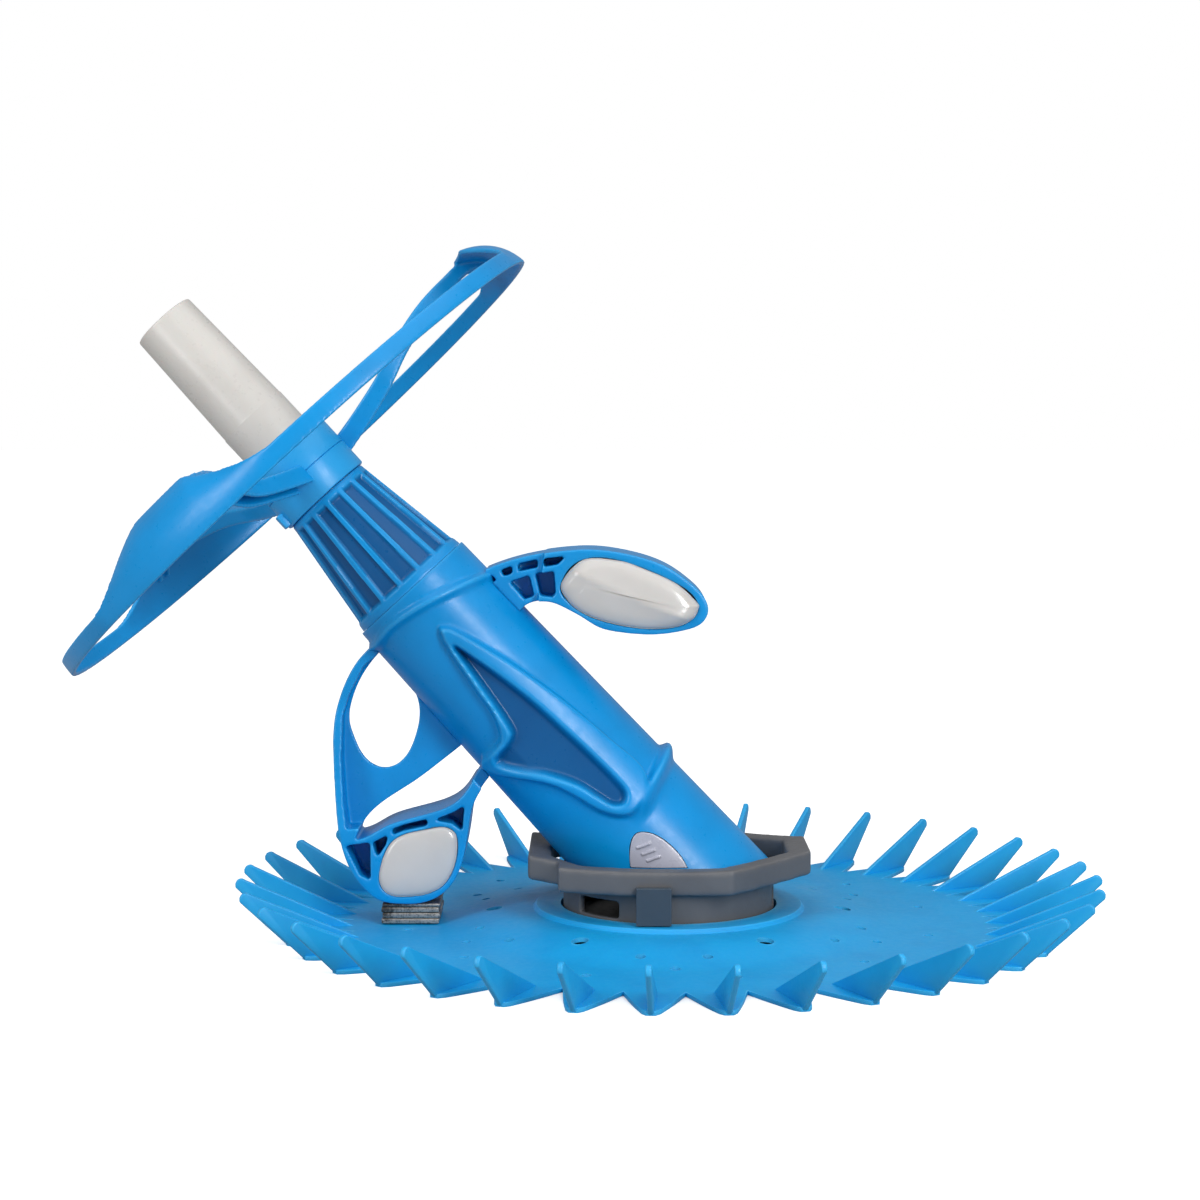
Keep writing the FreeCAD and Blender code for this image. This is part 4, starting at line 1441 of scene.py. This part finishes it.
@dataclass
class FinnedDisc:
    """The flexible disc: domed web, toothed rim, upright fins and drain holes (millimetres)."""

    count: int = 36
    phase: float = -93.8
    tooth_radius: float = 205.0
    valley_radius: float = 168.0
    fin_tip: tuple[float, float] = (228.7, 28.3)
    thickness: float = 2.2
    hole_radius: float = 57.5
    flange_radius: float = 71.3
    flange_top: float = 11.0
    flange_thickness: float = 4.0
    rise: float = 6.6
    dome_first: float = 78.0
    dome_last: float = 128.0
    fin_half: float = 1.4
    large_hole: float = 4.4
    small_hole: float = 2.6

    def height(self, radius: float) -> float:
        """Height of the web's top at a radius."""
        if radius < self.flange_radius:
            return self.flange_top
        if radius < self.dome_first:
            return self.rise + self.thickness
        share = min(1.0, (radius - self.dome_first) / (self.dome_last - self.dome_first))
        return 0.5 * self.rise * (1 + math.cos(math.pi * share)) + self.thickness

    def edge_radius(self, offset: float) -> float:
        """Outer radius at an angle from a tooth's middle, in degrees."""
        share = min(1.0, max(0.0, (abs(offset) - 0.9) / 4.0))
        return self.tooth_radius + (self.valley_radius - self.tooth_radius) * share

    def web(self) -> bmesh.types.BMesh:
        """Lay out one tooth's sector of the web, turn it round the disc and give it its thickness.

        Returns:
            The closed web with its teeth.
        """
        flange = self.flange_radius
        rings = [self.hole_radius, 62.0, 67.0, flange - 0.9, flange - 0.3, flange, flange + 0.3, flange + 1.0]
        rings += [74.0, 76.0, 78.0] + [78.0 + 50.0 * step / 16 for step in range(1, 17)]
        rings += [136.0, 144.0, 152.0, 158.0, 162.0]
        shares = [step / 12 for step in range(1, 13)]
        pitch = 360.0 / self.count
        across = 16
        bm = bmesh.new()
        bmesh.ops.create_grid(bm, x_segments=len(rings) + len(shares) - 1, y_segments=across, size=0.5)
        for vert in bm.verts:
            column = round((vert.co.x + 0.5) * (len(rings) + len(shares) - 1))
            row = round((vert.co.y + 0.5) * across)
            offset = (row / across - 0.5) * pitch
            if column < len(rings):
                radius = rings[column]
            else:
                share = shares[column - len(rings)]
                radius = rings[-1] + (self.edge_radius(offset) - rings[-1]) * share
            level = self.height(radius)
            if flange - 0.95 <= radius <= flange + 1.05:
                fall = ease((radius - flange + 0.9) / 1.9)
                level = self.flange_top + (self.rise + self.thickness - self.flange_top) * fall
            angle = math.radians(offset + self.phase)
            vert.co = (radius * math.cos(angle), radius * math.sin(angle), level)
        turned_copies(bm, self.count)
        bmesh.ops.remove_doubles(bm, verts=bm.verts, dist=1e-3)
        bmesh.ops.recalc_face_normals(bm, faces=bm.faces)
        if sum(face.normal.z for face in bm.faces) < 0:
            bmesh.ops.reverse_faces(bm, faces=bm.faces)
        made = bmesh.ops.extrude_face_region(bm, geom=bm.faces[:], use_keep_orig=True)["geom"]
        lower = [item for item in made if isinstance(item, bmesh.types.BMVert)]
        for vert in lower:
            inside = math.hypot(vert.co.x, vert.co.y) < flange
            vert.co.z = max(0.0, vert.co.z - (self.flange_thickness if inside else self.thickness))
        bmesh.ops.recalc_face_normals(bm, faces=bm.faces)
        rim = [edge for edge in bm.edges
               if len(edge.link_faces) == 2 and edge.calc_face_angle(0.0) > 0.9
               and math.hypot(edge.verts[0].co.x, edge.verts[0].co.y) > self.valley_radius - 3]
        bmesh.ops.bevel(
            bm, geom=rim, offset=0.5, segments=2, profile=0.5, affect="EDGES", material=-1, clamp_overlap=True
        )
        return bm

    def fin(self) -> bmesh.types.BMesh:
        """One upright fin with a blunt tip and rounded edges, about +X.

        Returns:
            The fin.
        """
        tip_r, tip_z = self.fin_tip
        profile = [
            (self.valley_radius - 2, self.thickness - 0.6), (self.tooth_radius - 0.2, 0.4),
            (tip_r, tip_z - 4.6), (tip_r, tip_z - 2.6), (tip_r - 0.9, tip_z - 0.8), (tip_r - 2.6, tip_z),
            (tip_r - 4.0, tip_z - 0.15), (tip_r - 5.4, tip_z - 1.0)]
        bm = prism(profile, -self.fin_half, self.fin_half)
        round_sharp(bm, 0.75, 3, 30.0)
        return bm

    def holes(self) -> bmesh.types.BMesh:
        """Cutters for the large and small drain holes.

        Returns:
            Short cylinders through the web.
        """
        spots = []
        for index in range(6):
            spots.append((93.0, 60.0 * index, self.large_hole))
            for radius, offset in ((106.0, 21.0), (106.0, 39.0), (121.0, 30.0)):
                spots.append((radius, 60.0 * index + offset, self.small_hole))
        spots += [(140.0, 30.0 * index + 12.0, self.small_hole) for index in range(12)]
        bm = bmesh.new()
        for radius, degrees, reach in spots:
            angle = math.radians(degrees)
            place = Matrix.Translation((radius * math.cos(angle), radius * math.sin(angle), 5.0))
            bmesh.ops.create_cone(
                bm, cap_ends=True, segments=32, radius1=reach, radius2=reach, depth=30.0, matrix=place
            )
        return bm

    def build(self, finishes: Finishes) -> bpy.types.Object:
        """Put the web, teeth and fins together and dress them.

        Args:
            finishes: The cleaner's finishes.

        Returns:
            The finished disc.
        """
        web = carved(self.web(), self.holes())
        rim = self.fin()
        turn = Matrix.Rotation(math.radians(self.phase), 3, "Z")
        bmesh.ops.rotate(rim, cent=(0, 0, 0), matrix=turn, verts=rim.verts)
        turned_copies(rim, self.count)
        bm = joined([web, rim])
        return publish(bm, "finned_disc_moulded", Body.DISC, finishes.disc_blue,
                       ["finned_disc", "disc_fins"], crease=30.0)


# ---------------------------------------------------------------- small pieces


@dataclass
class BallastPlates:
    """Four stacked steel plates with rounded, slightly uneven edges (millimetres)."""

    left: float = -151.6
    right: float = -121.4
    half: float = 18.0
    bottom: float = 2.9
    top: float = 14.6
    count: int = 4
    gap: float = 0.3

    def build(self, finishes: Finishes) -> bpy.types.Object:
        """Stack and dress the plates.

        Args:
            finishes: The cleaner's finishes.

        Returns:
            The finished stack.
        """
        pitch = (self.top - self.bottom + self.gap) / self.count
        plates = []
        for index in range(self.count):
            low = self.bottom + index * pitch
            shift = 0.5 * (index % 2)
            high = low + pitch - self.gap
            if index == self.count - 1:
                high -= 1.0
            near, far = (self.left + shift, -self.half, low), (self.right + shift, self.half, high)
            plates.append(block(near, far, 0.5))
        return publish(joined(plates), "ballast_plates_stacked", Body.CHASSIS, finishes.plate_steel,
                       ["ballast_plates"], crease=30.0)


class InnerParts:
    """The parts hidden in the tube and chambers, which keep their CAD shapes."""

    def __init__(self, finishes: Finishes) -> None:
        """Choose each part's finish."""
        self.choice: dict[str, bpy.types.Material] = {
            "float_block": finishes.foam.build(),
            "weight_block": finishes.plate_steel,
            "foot_seal": finishes.rubber_black,
            "latch_springs": finishes.spring_steel,
            "outer_pipe": finishes.connector_white,
            "inner_pipe": finishes.inner_black,
            "thrust_washer": finishes.inner_black,
            "cassette": finishes.inner_black,
            "diaphragm": finishes.rubber_black,
            "diaphragm_ring": finishes.inner_black,
            "pipe_gasket": finishes.rubber_black,
            "pipe_coupler": finishes.inner_black,
        }

    def build(self) -> None:
        """Give every kept CAD node its finish."""
        for name, finish in self.choice.items():
            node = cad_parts[name]
            if node.material_slots:
                for slot in node.material_slots:
                    slot.material = finish
            else:
                node.data.materials.append(finish)
            LOG.info("kept %s with %s", name, finish.name)


# ---------------------------------------------------------------- studio


@dataclass(frozen=True)
class SoftLamp:
    """One soft rectangular lamp (metres and watts)."""

    name: str
    place: tuple[float, float, float]
    size: tuple[float, float]
    power: float

    def hang(self, aim: Sequence[float]) -> None:
        """Hang the lamp and turn it to a point.

        Args:
            aim: What it points at.
        """
        data = bpy.data.lights.new(self.name, "AREA")
        data.shape = "RECTANGLE"
        data.size, data.size_y = self.size
        data.energy = self.power
        lamp = bpy.data.objects.new(self.name, data)
        lamp.location = self.place
        lamp.rotation_euler = (Vector(aim) - Vector(self.place)).to_track_quat("-Z", "Y").to_euler()
        bpy.context.scene.collection.objects.link(lamp)


@dataclass
class Studio:
    """The pale floor, the soft lights and the camera (metres)."""

    camera_place: tuple[float, float, float] = (-0.036546, -1.322459, 0.279106)
    camera_pitch: float = 4.61
    lens: float = 75.34
    floor_reach: float = 12.0
    fill: float = 0.32
    aim: tuple[float, float, float] = (-0.02, 0.0, 0.12)
    lamps: tuple[SoftLamp, ...] = (
        SoftLamp("key_right", (0.9, -1.5, 0.8), (0.4, 1.0), 20.0),
        SoftLamp("fill_left", (-1.4, -1.1, 0.9), (0.5, 1.2), 14.0),
    )
    overhead: float = 1.15
    overhead_spread: float = 70.0

    def air(self) -> None:
        """Give the room an even white backdrop and a dimmer even fill light."""
        world = bpy.data.worlds.new("studio_air")
        world.use_nodes = True
        tree = world.node_tree
        tree.nodes.clear()
        fill = add_node(tree, "ShaderNodeBackground", {"Color": (1.0, 1.0, 1.0, 1.0), "Strength": self.fill})
        backdrop = add_node(tree, "ShaderNodeBackground", {"Color": (1.0, 1.0, 1.0, 1.0), "Strength": 1.0})
        seen = add_node(tree, "ShaderNodeLightPath").outputs["Is Camera Ray"]
        mixed = add_node(
            tree, "ShaderNodeMixShader", None, {0: seen, 1: fill.outputs[0], 2: backdrop.outputs[0]})
        add_node(tree, "ShaderNodeOutputWorld", None, {"Surface": mixed.outputs[0]})
        bpy.context.scene.world = world

    def build(self, finishes: Finishes) -> None:
        """Set the floor, the lights, the world and the camera.

        Args:
            finishes: The cleaner's finishes.
        """
        bm = bmesh.new()
        bmesh.ops.create_grid(bm, x_segments=4, y_segments=4, size=self.floor_reach)
        mesh = bpy.data.meshes.new("studio_floor")
        bm.to_mesh(mesh)
        bm.free()
        mesh.materials.append(finishes.floor())
        floor = bpy.data.objects.new("studio_floor", mesh)
        bpy.context.scene.collection.objects.link(floor)
        for lamp in self.lamps:
            lamp.hang(self.aim)
        overhead = bpy.data.lights.new("overhead", "SUN")
        overhead.energy = self.overhead
        overhead.angle = math.radians(self.overhead_spread)
        above = bpy.data.objects.new("overhead", overhead)
        above.rotation_euler = (math.radians(12), math.radians(8), 0.0)
        bpy.context.scene.collection.objects.link(above)
        self.air()
        data = bpy.data.cameras.new("studio_camera")
        data.lens = self.lens
        data.sensor_width = 36.0
        camera = bpy.data.objects.new("studio_camera", data)
        camera.location = self.camera_place
        camera.rotation_euler = (math.radians(90 - self.camera_pitch), 0.0, 0.0)
        bpy.context.scene.collection.objects.link(camera)
        bpy.context.scene.camera = camera
        bpy.context.scene.view_settings.view_transform = "Standard"
        bpy.context.scene.view_settings.look = "None"


def main() -> None:
    """Build every sub-assembly in order."""
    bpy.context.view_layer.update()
    finishes = Finishes()
    Studio().build(finishes)
    BodyTube().build(finishes)
    blue, grey, silver = finishes.body_blue, finishes.foot_grey, finishes.latch_silver
    for node in ("bumper_frame", "upper_handle"):
        SoftMoulding(f"{node}_moulded", (node,), Body.CHASSIS, Slot.BODY_BLUE, 0.75).build(blue)
    DeflectorWheel().build(finishes)
    SoftMoulding("foot_ring_moulded", ("foot_ring",), Body.CHASSIS, Slot.FOOT_GREY, 0.85, 22).build(grey)
    SoftMoulding("foot_skirt_moulded", ("foot_skirt",), Body.CHASSIS, Slot.FOOT_GREY, 0.85, 3).build(grey)
    SoftMoulding("foot_hooks_moulded", ("foot_hooks",), Body.CHASSIS, Slot.HOOK_GREY, 0.4, 3).build(
        finishes.hook_grey)
    for side, body in (("near", Body.LATCH_NEAR), ("far", Body.LATCH_FAR)):
        node = f"latch_{side}"
        SoftMoulding(f"{node}_moulded", (node,), body, Slot.LATCH_SILVER, 0.3, 3).build(silver)
    DomedCover(
        "float",
        [(-56.7, 182.6), (-45.3, 195.0), (-26.7, 194.6), (-13.8, 190.4), (3.2, 182.6), (14.0, 172.8),
         (14.6, 169.2), (11.6, 164.0), (3.3, 160.0), (-9.6, 158.9), (-21.5, 160.0), (-35.0, 163.0),
         (-45.4, 167.2), (-53.1, 173.4)],
        ((-44.0, 181.5), (2.0, 170.5)), height=4.2, crease_height=2.2,
    ).build(finishes)
    DomedCover(
        "weight",
        [(-152.5, 28.0), (-150.6, 37.6), (-146.2, 46.2), (-139.4, 50.6), (-128.4, 53.2), (-119.0, 54.6),
         (-113.2, 52.2), (-111.4, 47.4), (-112.0, 38.0), (-114.8, 29.6), (-119.6, 23.2), (-126.9, 19.4),
         (-134.7, 18.0), (-144.6, 18.0), (-150.4, 21.4)],
        ((-137.0, 31.0), (-126.0, 40.0)), height=3.0,
    ).build(finishes)
    TwistCollar().build(finishes)
    WheelHub().build(finishes)
    HoseTail().build(finishes)
    FinnedDisc().build(finishes)
    BallastPlates().build(finishes)
    InnerParts(finishes).build()


if __name__ == "__main__":
    main()
